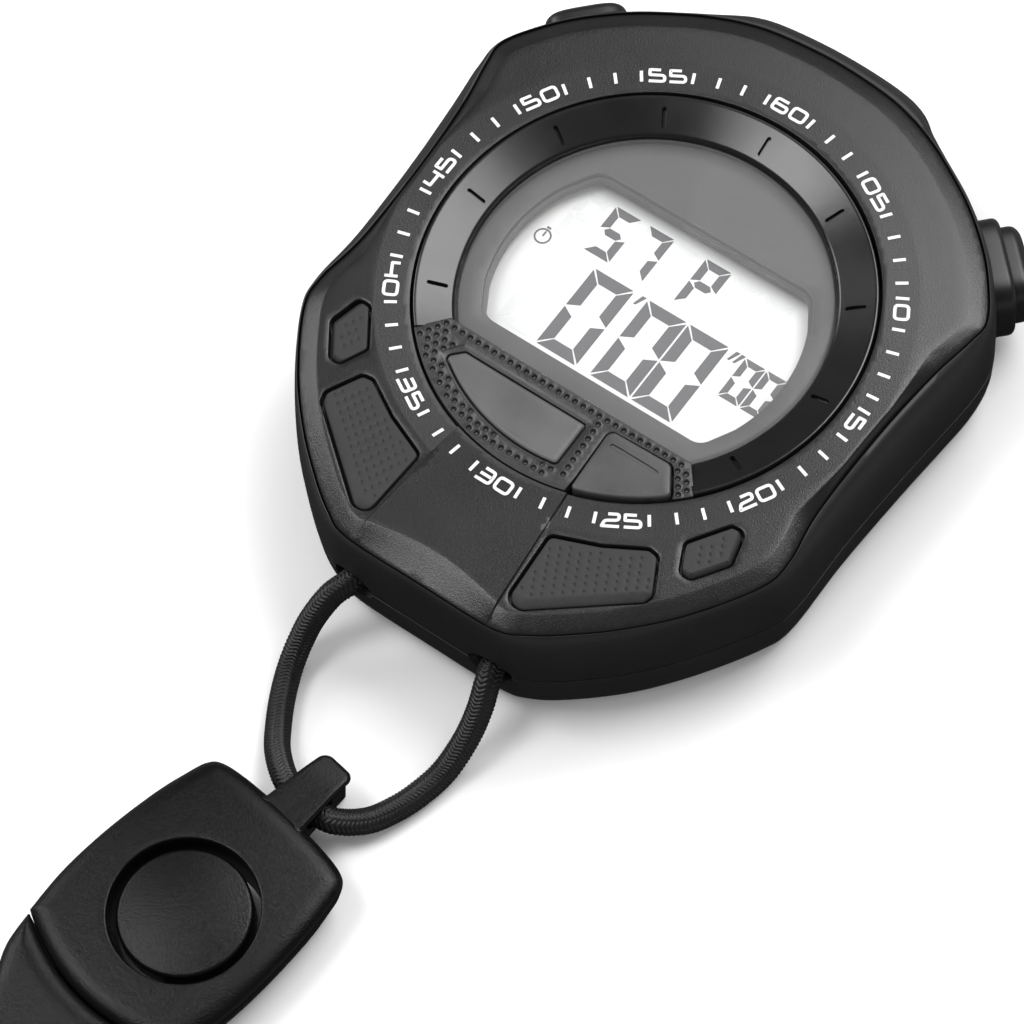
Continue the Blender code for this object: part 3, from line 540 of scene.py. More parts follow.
# By the frame's material slots, and a few more
LOOKS = {
	"case_shell": grained("case_rubberised", (0.0085, 0.0085, 0.0086), 0.46, 0.1, 0.14, 0.1, spread=0.03),
	"face": grained("face_grained", (0.0085, 0.0085, 0.0087), 0.29, 0.17, 0.5, 0.1, spread=0.012),
	"panel": grained("panel_grained", (0.022, 0.022, 0.0225), 0.33, 0.14, 0.35),
	"badge": grained("badge_satin", (0.078, 0.078, 0.079), 0.4, bump=0.35),
	"key": grained("key_satin", (0.05, 0.05, 0.051), 0.4, bump=0.4),
	"dial_ring": grained("ring_satin", (0.007, 0.007, 0.0072), 0.22, 0.08, 0.12, 0.1, spread=0.03),
	"rubber": grained("grip_rubber", (0.016, 0.016, 0.0163), 0.6, 0.08),
	"mask": grained("mask_grey", (0.036, 0.036, 0.0373), 0.42, 0.1, 0.05, 0.05),
	"print": grained("print_white", (0.7, 0.7, 0.7), 0.5, 0.08, 0.15, 0.04),
	"lcd": grained("lcd_pale", (0.8, 0.81, 0.8), 0.55, 0.1, 0, 0.015, patch=2.5, specular=0.2),
	"segment": grained("lcd_segment", (0.08, 0.08, 0.088), 0.4, 0.1, 0.02, 0.05),
	"ghost": grained("lcd_ghost", (0.735, 0.75, 0.752), 0.5, 0.1, 0, 0.03),
	"white_frame": grained("frame_white", (0.72, 0.72, 0.7), 0.5, 0.2, 0.1, 0.05),
	"chip": grained("epoxy_black", (0.012, 0.012, 0.012), 0.3, 0.5, 0.1),
	"button": grained("button_black", (0.006, 0.006, 0.0061), 0.38, 0.09, 0.1, 0.1, spread=0.03),
	"cord": grained("cord_elastic", (0.006, 0.006, 0.0062), 0.42, 0.06, 0.5, 0.3, patch=0.8),
	"coupling": grained("coupling_black", (0.0025, 0.0025, 0.0026), 0.25, 0.2, 0.7, 0.06,
		spread=0.006, specular=0.24),
	"steel": grained("plated_steel", (0.56, 0.56, 0.57), 0.28, 0.2, 0.05, 0.05, metallic=1),
	"contact_metal": grained("spring_brass", (0.7, 0.5, 0.22), 0.32, 0.2, 0.05, 0.08, metallic=1),
	"board": grained("board_green", (0.02, 0.12, 0.045), 0.4, 0.25, 0.1),
	"lens": grained("lens_clear", (0.6, 0.6, 0.6), 0.06, 3, 0.01, 0.02, spread=0.02, alpha=0.07),
}

def paint_window_shadow(material, start, end, least):
	"""Paints shade into a colour between two heights up the dial, darkest at the top: a painted shadow, as under the
	window's upper edge.
	"""
	tree = material.node_tree
	nodes = tree.nodes
	shader = nodes["Principled BSDF"]
	colour = shader.inputs["Base Color"].links[0].from_node
	split = nodes.new("ShaderNodeSeparateXYZ")
	low, high = (DIAL.translation.y + y * MM for y in (start, end))
	# The painted shade: full colour at the lower height, down to the least share at the upper one
	share = put(nodes.new("ShaderNodeMapRange"), From_Min=low, From_Max=high, To_Min=1, To_Max=least)
	share.interpolation_type = "SMOOTHSTEP"
	shadowed_colour = nodes.new("ShaderNodeVectorMath")
	shadowed_colour.operation = "SCALE"
	wire(
		tree, (nodes.new("ShaderNodeTexCoord"), "Object", split, "Vector"), (split, "Y", share, "Value"),
		(colour, "Color", shadowed_colour, "Vector"), (share, "Result", shadowed_colour, "Scale"),
		(shadowed_colour, "Vector", shader, "Base Color"),
	)

# Painted shadow: the display glass and its digits are darkened towards the window's upper edge, as if shaded by the
# mask's wall
for look_name in ("lcd", "segment", "ghost"):
	paint_window_shadow(LOOKS[look_name], 9.9, 11.5, 0.36)

# The camera

def build_camera():
	right, up = Vector((0.80796, 0.58558, -0.06554)), Vector((-0.49882, 0.73896, 0.4529))
	data = bpy.data.cameras.new("camera")
	data.lens = 151.1
	data.sensor_width = 36
	camera = add_object("camera", data)
	turn = Matrix((right, up, right.cross(up))).transposed().to_4x4()
	camera.matrix_world = DIAL @ shift(144.88, -179.51, 418.26) @ turn
	bpy.context.scene.camera = camera

# The elastic cord

def build_cord():
	"""A tube along the route, its surface a braid of fine ribs that lean both ways."""
	route = [Vector(p) for p in smooth_curve(CORD_ROUTE, 40 * (len(CORD_ROUTE) - 1))]
	lengths = [0]
	for a, b in zip(route, route[1:]):
		lengths.append(lengths[-1] + (b - a).length)
	rings = int(lengths[-1] / 0.065)
	around = 64
	tube, line = [], []
	side = Vector((1, 0, 0))
	for ring in range(rings + 1):
		reach = lengths[-1] * ring / rings
		index = int(clip(np.searchsorted(lengths, reach) - 1, 0, len(lengths) - 2))
		share = (reach - lengths[index]) / (lengths[index + 1] - lengths[index])
		centre = route[index].lerp(route[index + 1], share)
		along = (route[min(index + 2, len(route) - 1)] - route[max(index - 1, 0)]).normalized()
		side = (side - along * side.dot(along)).normalized()
		up = along.cross(side)
		line.append(DIAL @ (centre * MM))
		points = []
		for k in range(around):
			turn = 2 * pi * k / around
			lane = k / around * 12
			lean = 1 if int(lane) % 2 else -1
			rib = abs(sin(pi * (reach / 0.44 + lean * (lane % 1 - 0.5) * 0.9)))
			valley = min(lane % 1, 1 - lane % 1) * 2
			lift = CORD_DIAMETER / 2 - 0.22 + 0.18 * rib**0.8 + 0.05 * min(1, valley * 2.5)
			points.append(centre + (side * cos(turn) + up * sin(turn)) * lift)
		tube.append(points)
	cord = loft("elastic_cord", tube, "cord", sharp=80)
	keep(cord, "cord", "cord_loop")
	coarse = line[::8] + [line[-1]]
	length = sum((b - a).length for a, b in zip(coarse, coarse[1:]))
	return cord, coarse, length

# Case shells

def button_frame(angle):
	return DIAL @ shift(0, 0, PARTING_Z) @ turned(angle + 90, "Z") @ turned(90, "X")

def wall_cuts():
	"""Tools for the two cord holes and the two button pockets."""
	cuts = []
	for x in (CORD_HOLE_X, -CORD_HOLE_X):
		flare = ((4.8, -3), (4.8, 3.3), (5.2, 3.75), (6.6, 4.8))
		rings = [at(squircle(width, width - 1, 2, 48), z) for width, z in flare]
		cuts.append(loft("cord_hole", rings, "case_shell", DIAL @ shift(x, -38, PARTING_Z) @ turned(90, "X")))
	for angle in BUTTON_ANGLES:
		loop = squircle(COLLAR_SIZE[0] + 2 * GAP, COLLAR_SIZE[1] + 2 * GAP)
		cuts.append(plate("collar_pocket", loop, 36.4, 44, "case_shell", button_frame(angle)))
	return cuts

def discs(centre, count, *profile):
	"""Rings around a centre, from (radius, z) pairs."""
	return [at(circle(radius, count, centre), z) for radius, z in profile]

def drawn_in(loop, *profile):
	"""Rings of a loop, from (inset, z) pairs."""
	return [at(inset(loop, distance), z) for distance, z in profile]

def build_case():
	case, face = both_halves(CASE_HALF), both_halves(FACE_HALF)
	lip = inset(face, -0.16)
	top, bottom = PARTING_Z + 0.06, PARTING_Z - 0.06
	shoulder = (
		(0, 11), (0.02, 11.8), (0.07, 12.8), (0.16, 13.8), (0.28, 14.9), (0.44, 15.8), (0.62, 16.5), (0.78, 16.8),
		(0.92, 16.95), (0.985, 16.93), (1, 16.85),
	)
	rings = drawn_in(case, (0.15, top), (0.03, top + 0.05), (0, top + 0.2))
	for share, z in shoulder:
		rings.append([(*Vector(a).lerp(Vector(b), share), z) for a, b in zip(case, lip)])
	opening = [tuple(Vector(p).normalized() * 24.4) for p in case]
	rings += [at(lip, 14.6), at(opening, 14.6), at(opening, 13)]
	rings += drawn_in(case, (2.4, 13), (2.4, top))
	front = loft("bumper_front", rings, "case_shell", hollow=True)
	combine(front, *wall_cuts())
	keep(front, "case_shell", "front_case")

	underside = (
		(3, 0), (2.2, 0.06), (1.55, 0.4), (1.05, 1.1), (0.65, 2.2), (0.35, 3.6), (0.12, 5.2), (0, bottom - 0.2),
		(0.03, bottom - 0.05), (0.15, bottom), (2.4, bottom), (3, 1.8),
	)
	rear = loft("back_shell", drawn_in(case, *underside), "case_shell")
	holes = []
	for place in SCREW_PLACES:
		holes.append(plate("screw_hole", circle(1.3, 32, place), -1, 3, "case_shell"))
		flare = discs(place, 48, (2.75, -0.2), (2.45, 0.12), (2.4, 1.1))
		holes.append(loft("screw_recess", flare, "case_shell"))
	step = discs(BATTERY_CENTRE, 120, (13.65, -0.2), (13.35, 0.15), (13.3, 1.15))
	holes.append(loft("cover_step", step, "case_shell"))
	holes.append(plate("battery_hole", circle(11.6, 120, BATTERY_CENTRE), 0.5, 3, "case_shell"))
	combine(rear, *holes, *wall_cuts())
	keep(rear, "case_shell", "rear_case")

def build_back_details():
	for i, place in enumerate(SCREW_PLACES):
		profile = ((0.9, 3), (0.9, 0.9), (2.05, 0.9), (2.1, 0.75), (2.1, 0.45), (1.9, 0.25), (1.5, 0.16))
		head = loft(f"back_screw_{i + 1}", discs(place, 48, *profile), "steel")
		turn = DIAL @ shift(*place, 0) @ Matrix.Rotation(0.3 + 1.07 * i, 4, "Z")
		sizes = ((0.5, 2.3, 1), (2.3, 0.5, 1))
		combine(head, *[block("cross", size, (0, 0, 0.2), "steel", turn) for size in sizes])
		keep(head, "steel", f"case_screw_{i + 1}")

	profile = (
		(11.2, 2.6), (11.2, 0.85), (13, 0.85), (13, 0.35), (12.9, 0.2), (12.7, 0.15), (9.6, 0.15), (9.4, 0.3),
		(9.2, 0.3), (9, 0.15),
	)
	cover = loft("coin_cell_cover", discs(BATTERY_CENTRE, 120, *profile), "case_shell")
	x, y = BATTERY_CENTRE
	slot = plate("coin_slot", [(x + a, y + b) for a, b in squircle(15, 1.9, 8, 64)], -1, 1.15, "case_shell")
	combine(cover, slot, plate("lock_mark", circle(0.5, 24, (x, y + 11.3)), -1, 0.4, "case_shell"))
	keep(cover, "case_shell", "battery_cover", body="battery_cover_body")

# Face plate, its scale and its grip pads

FACE = both_halves(FACE_HALF)
FACE_ANGLES = [atan2(y, x) for x, y in FACE]
FACE_REACH = [hypot(x, y) for x, y in FACE]
GRIP_PADS = {
	"upper": (
		(23.6, -17.7, 0.8), (20.5, -22.2, 0.9), (22.1, -25.5, 1), (23.6, -25.5, 1),
		(26.3, -21.6, 1.2), (25.3, -17.6, 1),
	),
	"lower": (
		(8.3, -29.3, 1), (8.8, -38.2, 1.5), (11, -38.2, 1.5), (21.2, -30.2, 1),
		(21.6, -29, 1), (19.4, -24.9, 1), (18, -24.7, 1), (13.6, -27.2, 0),
	),
}
# The pads' sides that face away from the dial, the width of their facets, and how deep the pads sit
PAD_MAKE = {"upper": ((2, 3, 4), 0.55, 0.12), "lower": ((1, 2), 1.15, 0.16)}
PAD_GAP = 0.3
FACE_HOLE_R = OPENING_R - 0.02
CHIN = ((-7, -22), (-8.9, -42), (8.9, -42), (7, -22))
POCKET_FLOOR = 16
FACE_Z = 17.86
CHIN_Z = FACE_Z + 0.1
FACE_FALL = 0.042
FACE_LEAN = 0.03
SCALE_FALL = 0.02
SCALE_LEAN = 0.05

def pad_outline(name, side):
	corners = [(side * x, y, r) for x, y, r in GRIP_PADS[name]]
	return even(filleted(corners if side > 0 else corners[::-1]), 0.4, 0.05)

PAD_OUTLINES = {(name, side): pad_outline(name, side) for name in GRIP_PADS for side in (1, -1)}

def face_reach(x, y):
	"""Radius of the face's rim, of its bevel's crest and of the scale's outer edge."""
	reach = interp(np.arctan2(y, x), FACE_ANGLES, FACE_REACH, period=2 * pi)
	edge = minimum(SCALE_EDGE_R, reach - 0.9)
	chin_share = clip(1 - (x / 9.4) ** 2, 0, 1) * (y < 0)
	return reach, reach - minimum(2.1 + 1.5 * chin_share, 0.55 * (reach - edge)), edge

def outer_drop(x, y, edge):
	"""How far the face has fallen outside its scale; it leans a little to the upper right."""
	r = hypot(x, y)
	return (FACE_FALL + FACE_LEAN * (x + y) / maximum(r, 1)) * maximum(0, r - edge)

def face_height(x, y):
	"""Seam bevel, gentle slope, inward scale and raised chin, and the rounded rims of its holes."""
	r = hypot(x, y)
	reach, crest, edge = face_reach(x, y)
	raised = smooth((within(CHIN, x, y) + 0.02) / 0.16)
	share = crest / maximum(r, 1)
	crest_z = FACE_Z - 0.02 - outer_drop(x * share, y * share, edge)
	crest_z = crest_z * (1 - raised) + CHIN_Z * raised
	outer = SEAM_Z + (crest_z - SEAM_Z) * maximum((reach - r) / maximum(reach - crest, 0.01), 0)
	slope = FACE_Z - 0.02 - outer_drop(x, y, edge)
	slope = slope - (SCALE_FALL - SCALE_LEAN * (x + y) / maximum(r, 1)) * maximum(0, edge - r)
	slope = slope * (1 - raised) + CHIN_Z * raised
	z = minimum(outer, slope) - 0.04 * maximum(0, 1 - np.abs(outer - slope) / 0.25) ** 2
	z = z - fall(r - FACE_HOLE_R, 0.12) - fall(within(FACE, x, y), 0.15)
	for loop in PAD_OUTLINES.values():
		z = z - fall(-within(loop, x, y), 0.18)
	return z

def build_face():
	outer = even(FACE, 0.5, 0.2)
	pockets = list(PAD_OUTLINES.values())
	lines = insets(outer, 0.05, 0.15) + [circle(FACE_HOLE_R + d, 420) for d in (0.04, 0.12)]
	turns = linspace(0, 2 * pi, 400, endpoint=False)
	crest = 1
	for _ in range(4):
		_, crest, edge = face_reach(crest * np.cos(turns), crest * np.sin(turns))
	for radius in (crest, crest - 0.12, crest + 0.12, edge, edge - 0.12):
		lines.append([(r * cos(t), r * sin(t)) for r, t in zip(radius, turns)])
	lines += [inset(loop, -d) for loop in pockets for d in (0.06, 0.18)]
	lines += insets(even(CHIN, 0.4), -0.02, 0.06, 0.14)
	floors = [[(0, 14.8)], *[[(0, POCKET_FLOOR)]] * len(pockets)]
	face = relief("face_panel", outer, face_height, "face", [(0, 14.8)], [circle(FACE_HOLE_R, 420), *pockets],
		floors, lines, spacing=0.55, sharp=40)
	keep(face, "face", "face_plate")

def dimple_places(loop, turn, drift):
	"""Places well inside a loop, on a turned grid whose rows each drift by a share of a pitch."""
	margin, pitch_x, pitch_y, reach = 0.55, 1.1, 0.85, 14
	middle = np.mean(loop, axis=0)
	c, s = cos(turn), sin(turn)
	rows, columns = int(reach / pitch_y), int(reach / pitch_x)
	places = []
	for row in range(-rows, rows + 1):
		for column in range(-columns, columns + 1):
			a, b = (column + drift * row % 1) * pitch_x, row * pitch_y
			places.append((middle[0] + a * c - b * s, middle[1] + a * s + b * c))
	places = array(places)
	return places[within(loop, *places.T) > margin]

def build_grip_pads():
	"""Pads with a dimpled top and a facet along the sides that face away from the dial."""
	for (name, side), pocket in PAD_OUTLINES.items():
		loop = even(inset(pocket, PAD_GAP), 0.35, 0.08)
		sides, facet, sink = PAD_MAKE[name]
		corners = [Vector((side * x, y)) for x, y, _ in GRIP_PADS[name]]
		middle = Vector(np.mean(corners, axis=0))
		edges = []
		for i in sides:
			a, b = corners[i], corners[i + 1]
			normal = Vector((a.y - b.y, b.x - a.x)).normalized()
			edges.append((a, b, normal if normal.dot(middle - a) > 0 else -normal))

		def from_edges(x, y):
			"""Distance inwards from the nearest outer side."""
			return np.min([n.x * (x - a.x) + n.y * (y - a.y) for a, _, n in edges], axis=0) - PAD_GAP

		dimples = dimple_places(loop, radians(38 if side > 0 else 142), 0.16 * side)
		dimples = dimples[from_edges(*dimples.T) > facet + 0.3]
		to_dimple = nearest(dimples)

		def height(x, y):
			z = FACE_Z - sink - outer_drop(x, y, SCALE_EDGE_R) - 0.4 * clip(1 - from_edges(x, y) / facet, 0, 1)
			return z - fall(within(loop, x, y), 0.14) - 0.15 * (1 - smooth(to_dimple(x, y) / 0.23))

		lines = insets(loop, 0.05, 0.14) + [circle(r, 10, p) for p in dimples for r in (0.07, 0.15, 0.23)]
		for a, b, normal in edges:
			line = array([a.lerp(b, t) + normal * (PAD_GAP + facet) for t in linspace(0, 1, 24)])
			line = line[(within(loop, *line.T) > 0.3) & (from_edges(*line.T) > facet - 0.05)]
			if len(line) > 1:
				lines.append([*line, *(line[::-1] + array(normal) * 0.08)])
		word = "right" if side > 0 else "left"
		pad = relief(f"pad_{name}_{word}", loop, height, "rubber", [(0, POCKET_FLOOR + 0.2)], lines=lines,
			spacing=0.4, sharp=50)
		keep(pad, "rubber", f"grip_pad_{name}_{word}")

# Numerals and minute marks, printed on the scale

# Each path is (x, y, corner radius) on a unit square
GLYPHS = {
	"0": [((0, 0, 0.42), (1, 0, 0.42), (1, 1, 0.42), (0, 1, 0.42), "closed")],
	"1": [((0.5, 1, 0), (0.5, 0, 0))],
	"2": [((0.3, 1, 0), (1.02, 1, 0.36), (0.98, 0.52, 0.3), (0.12, 0.46, 0.26), (-0.05, 0, 0.04), (1.05, 0, 0))],
	"3": [((0.22, 1, 0), (1, 1, 0.36), (1, 0, 0.36), (-0.05, 0, 0)), ((0.1, 0.5, 0), (0.95, 0.5, 0))],
	"4": [((0, 1, 0), (0, 0.4, 0.05), (0.98, 0.4, 0)), ((0.98, 0.9, 0), (0.98, -0.08, 0))],
	"5": [((0.72, 1, 0), (0, 1, 0.04), (0.02, 0.54, 0.04), (1, 0.54, 0.38), (1.04, 0, 0.38), (-0.02, 0, 0))],
	"6": [((0.85, 1, 0), (0, 1, 0.36), (0, 0, 0.3), (1, 0, 0.36), (1, 0.54, 0.3), (0.1, 0.54, 0))],
}
GLYPH_WIDTH, GLYPH_HEIGHT, PEN = 1.68, 1.46, 0.35

def stroke_sides(path, width):
	"""Both sides of a path's pen stroke, its corners rounded, and whether it is closed."""
	closed = path[-1] == "closed"
	corners = path[:-1] if closed else path
	points = [Vector(p[:2]) for p in corners]
	rounded = []
	for i, point in enumerate(points):
		if not closed and i in (0, len(points) - 1):
			rounded.append(point)
			continue
		start = point + (points[i - 1] - point).normalized() * corners[i][2]
		end = point + (points[(i + 1) % len(points)] - point).normalized() * corners[i][2]
		for t in (0, 0.25, 0.5, 0.75, 1):
			rounded.append(start * (1 - t) ** 2 + point * 2 * t * (1 - t) + end * t * t)
	left, right = [], []
	for i, point in enumerate(rounded):
		before = rounded[i - 1] if closed or i else point
		after = rounded[(i + 1) % len(rounded)] if closed or i < len(rounded) - 1 else point
		along = (after - before).normalized()
		turn = max(0.6, along.dot((after - point).normalized())) if before != point != after else 1
		across = Vector((-along.y, along.x)) * width / 2 / turn
		left.append(point + across)
		right.append(point - across)
	return left, right, closed

def printed(name, strips, height, look, lift=0.035, depth=0.08):
	"""Thin closed bodies that follow a surface, from strips with a left and a right side."""
	points, faces = [], []
	for left, right, closed in strips:
		start, count = len(points), len(left)
		x, y = array([*left, *right]).T
		z = height(x, y)
		points += [*zip(x, y, z + lift), *zip(x, y, z - depth)]
		a, b, c, d = (range(start + k * count, start + (k + 1) * count) for k in range(4))
		for low, high in ((a, b), (c, d), (a, c), (b, d)):
			faces += bands(low, high)[0 if closed else 1:]
		faces += [] if closed else [(a[i], b[i], d[i], c[i]) for i in (0, -1)]
	return piece(name, points, faces, look, sharp=30)

def build_scale():
	strips = []
	for minute in range(60):
		if minute % 5 == 0:
			continue
		out = polar(90 - 6 * minute)
		across = Vector((-out.y, out.x)) * 0.18
		ends = [out * SCALE_R * (0.9735 + 0.0505 * step / 4) for step in range(5)]
		strips.append(([p + across for p in ends], [p - across for p in ends], False))
	for five in range(12):
		label = "60" if five == 0 else f"{five * 5:02d}"
		out = polar(90 - 30 * five)
		up = -out if label in ("20", "25", "30", "35", "40") else out
		right = Vector((up.y, -up.x))
		for digit, shift_x in zip(label, (-1, 0.72) if label[0] == "1" else (-1.15, 1.15)):
			for path in GLYPHS[digit]:
				drawn = [p if p == "closed" else ((p[0] - 0.5) * GLYPH_WIDTH, (p[1] - 0.5) * GLYPH_HEIGHT, p[2])
					for p in path]
				*sides, closed = stroke_sides(drawn, PEN)
				sides = [[out * SCALE_R + right * (shift_x + p.x) + up * p.y for p in side] for side in sides]
				strips.append((*sides, closed))
	keep(printed("minute_scale", strips, face_height, "print"), "face")

# Dial ring, key panel and keys

def bar_outline(angle, low_r, high_r, width):
	"""A rounded bar that lies along a radius."""
	found = []
	for turn, middle in ((0, high_r - width / 2), (180, low_r + width / 2)):
		centre = polar(angle, middle)
		found += arc(width / 2, angle + turn - 90, angle + turn + 90, 6, centre)
	return found

def key_outline(shrink):
	"""The mode key's loop; a negative shrink gives the hole that it sits in."""
	rim_r = 25.05 - shrink
	left, top = 6.45 + shrink, -15.62 - shrink
	low_left = (left + 0.45, -sqrt(rim_r**2 - (left + 0.45) ** 2), 0.5)
	right = [(16.55 - 0.9 * shrink, -18.7, 0.7), (14.35 - 0.3 * shrink, -15.42 - 1.1 * shrink, 0.9)]
	return filleted([low_left, *at(arc(rim_r, -70, -51.5, 14), 0), *right, (left, top, 0.9)])

def badge_outline(left, right, top, rim):
	"""A plate with a curved lower side, its corners rounded."""
	low = [(left, -18.2, 0.7), *at(arc(rim, -124, -84, 24), 0), (right, -sqrt(rim**2 - right**2), 0.6)]
	return filleted([*low, (right - 0.1, top, 0.5), (left + 1.8, top, 0.6)])

PANEL_CHORD_X = 15.75
PANEL = arc(OPENING_R - GAP, 223, 317, 120)
PANEL += [(PANEL_CHORD_X, PANEL_CHORD_Y), (-PANEL_CHORD_X, PANEL_CHORD_Y)]
BADGE_RIM = badge_outline(-14.4, 4.55, -15.75, 22.95)
BADGE_WELL = badge_outline(-13.75, 4.15, -16.35, 22.6)
KEY_WELL = key_outline(-0.14)
RING_PROFILE = ((20.6, 16.3), (20.9, 16.52), (24.7, 17.86), (24.95, 17.86), (25.1, 17.72))
RING_LOW_R, RING_HIGH_R = 20.6, 25.1

def build_ring():
	radii, heights = zip(*RING_PROFILE)
	bars = [bar_outline(30 * i, 21.45, 23.7, 0.46) for i in range(12) if not 7 < i < 11]
	start, end = -43.35, 223.35
	region = even([*arc(RING_HIGH_R, start, end, 420), *arc(RING_LOW_R, end, start, 360)], 99, 0.05)

	def height(x, y):
		r = hypot(x, y)
		z = interp(r, radii, heights) - fall(RING_HIGH_R - r, 0.15) - fall(r - RING_LOW_R, 0.12)
		return z - sum(0.5 * smooth((within(bar, x, y) + 0.02) / 0.08) for bar in bars)

	lines = [arc(r, start + 0.2, end - 0.2, 360) for r in (20.68, 20.8, 20.95, 24.6, 24.8, 24.98)]
	lines = [[*line, *reversed([(x * 0.99985, y * 0.99985) for x, y in line])] for line in lines]
	for bar in bars:
		lines += insets(bar, -0.02, 0.07, 0.16)
	ring = relief("dial_ring", region, height, "dial_ring", [(0, 14.9)], lines=lines, sharp=40)
	keep(ring, "dial_ring", "bezel_ring")

def panel_dots():
	"""Staggered rows under the display, one column left of the mode key and two right of it."""
	rows = []
	for row in range(11):
		rows += [(-7.23 + 1.06 * (step + 0.5 * (row % 2)), -14.8 - 0.9 * row) for step in range(-12, 24)]
	places = array(rows)
	x, y = places.T
	free = (within(PANEL, x, y) > 0.38) & ((x < 4.2) | (y > -15)) & (within(KEY_WELL, x, y) < -0.34)
	free &= (within(BADGE_WELL, x, y) < -0.45) & ((y > -15) | (y < -16.2) | (x < -14.2) | (x > 4.6))
	found = [tuple(p) for p in places[free]]
	found += [(4.9 + 0.065 * i, -15.72 - 0.995 * i) for i in range(8)]
	found += [(15.12 + 0.563 * i, -15.62 - 0.77 * i) for i in range(4)]
	return found + [(16.1 + 0.59 * i, -15.45 - 0.79 * i) for i in range(3)]

def build_panel():
	loop = even(PANEL, 0.6, 0.1)
	dots = panel_dots()
	to_dot = nearest(dots)
	wells = [even(BADGE_WELL, 0.4, 0.08), even(KEY_WELL, 0.4, 0.08)]
	rim = even(BADGE_RIM, 0.5, 0.1)

	def height(x, y):
		z = 17.62 - 0.035 * (OPENING_R - hypot(x, y)) - fall(within(loop, x, y), 0.09)
		z = z - 0.1 * smooth((within(rim, x, y) + 0.05) / 0.22)
		for well in wells:
			z = z - fall(-within(well, x, y), 0.1)
		near = to_dot(x, y)
		bowl = np.sqrt(maximum(0, 1 - (near / 0.32) ** 2)) * 0.32
		return z - bowl + 0.03 * maximum(0, 1 - np.abs(near - 0.38) / 0.07)

	lines = insets(loop, 0.04, 0.1) + insets(rim, -0.05, 0.06, 0.17)
	lines += [inset(well, -d) for well in wells for d in (0.04, 0.1)]
	lines += [circle(r, 16, p) for p in dots for r in (0.1, 0.2, 0.27, 0.305, 0.32, 0.38, 0.45)]
	floors = [[(0, 16.6)], [(0, 14.9)]]
	panel = relief("key_surround", loop, height, "panel", [(0, 14.9)], wells, floors, lines, sharp=60)
	under_key = [(6.6, -21.5), (6.6, -26), (17.6, -26), (17.6, -18.4)]
	combine(panel, plate("rim", under_key, 14, 19, "panel"), sharp=60)
	keep(panel, "face", "key_panel")

	badge = even(inset(BADGE_WELL, 0.25), 0.35, 0.08)

	def badge_top(x, y):
		return 17.62 - 0.02 * (OPENING_R - hypot(x, y)) - 0.12 * (1 - smooth(within(badge, x, y) / 0.2))

	lines = insets(badge, 0.07, 0.13, 0.2)
	island = relief("badge_island", badge, badge_top, "badge", [(0, 16.9)], lines=lines, sharp=50)
	keep(island, "face", "badge_plate")

	key = even(key_outline(0.15), 0.35, 0.08)
	slot = [(x + 10.75, y - 17.25) for x, y in squircle(6.1, 0.5, 5, 60)]

	def key_top(x, y):
		return 18.1 - fall(within(key, x, y), 0.28) - 0.2 * smooth((within(slot, x, y) + 0.02) / 0.1)

	lines = insets(key, 0.06, 0.15, 0.28) + insets(slot, -0.02, 0.05, 0.11)
	cap = relief("key_cap", key, key_top, "key", [(0, 16.3)], lines=lines, sharp=45)
	keep(cap, "face", "mode_key", body="mode_button")

# Lens and display

def build_lens():
	chord = degrees(asin(LENS_CHORD_Y / LENS_R))
	loop = arc(LENS_R, chord, 180 - chord, 200)
	keep(plate("display_lens", loop, 15.2, 16.3, "lens", chamfer=0.18), "lens", "lens")

def build_mask():
	"""The grey surround; its window has curved sides, and an upright wall with one small step."""
	radius, top, bottom, fillet = 18, 11.35, 10.8, 2.4
	right = at(arc(radius, 14 - degrees(asin(bottom / radius)), degrees(asin(top / radius)) - 14, 40), 0)
	left = [(-x, y, 0) for x, y, _ in reversed(right)]
	top_x, low_x = sqrt(radius**2 - top**2), sqrt(radius**2 - bottom**2)
	corners = [(top_x, top), (-top_x, top), (-low_x, -bottom), (low_x, -bottom)]
	window = filleted([*right, *at(corners[:2], fillet), *left, *at(corners[2:], fillet)])
	window = even(window, 0.45, 0.08)

	wall = [(0.04, 14.05), (0.42, 13.98), (0.46, 13.1)]

	def height(x, y):
		return 14.6 - fall(-within(window, x, y), 0.12)

	mask = relief("display_surround", circle(24.1, 240), height, "mask", [(0, 13.1)], [window], [wall],
		insets(window, -0.04, -0.12), spacing=1.2, sharp=25)
	keep(mask, "mask", "display_mask")

SEGMENTS = {"0": "abcdef", "5": "acdfg", "7": "abc", "8": "abcdefg", "P": "abefg"}
GLASS_SINK = 0.9
# Rows of digits: bottom, top, pen width, then each character with its left and right
DIGITS = (
	(-9.05, 2.05, 1.42, ("0", -8.45, -3.12), ("0", -1.3, 3.9), ("0", 4.12, 9.45)),
	(-3.45, 2, 0.78, ("0", 11.6, 14.25), ("0", 14.42, 17.07)),
	(3.4, 9.8, 0.98, ("5", -11, -7.6), ("7", -6.6, -3.2), ("P", 1, 4.4)),
)
GHOSTS = (
	(-9, 2, 1.12, ("8", -13.9, -9.4)),
	(3.4, 9.8, 0.95, ("8", -14.9, -11.7), ("8", 5, 8.4), ("8", 9.2, 12.6), ("8", -2.4, 0.4)),
)

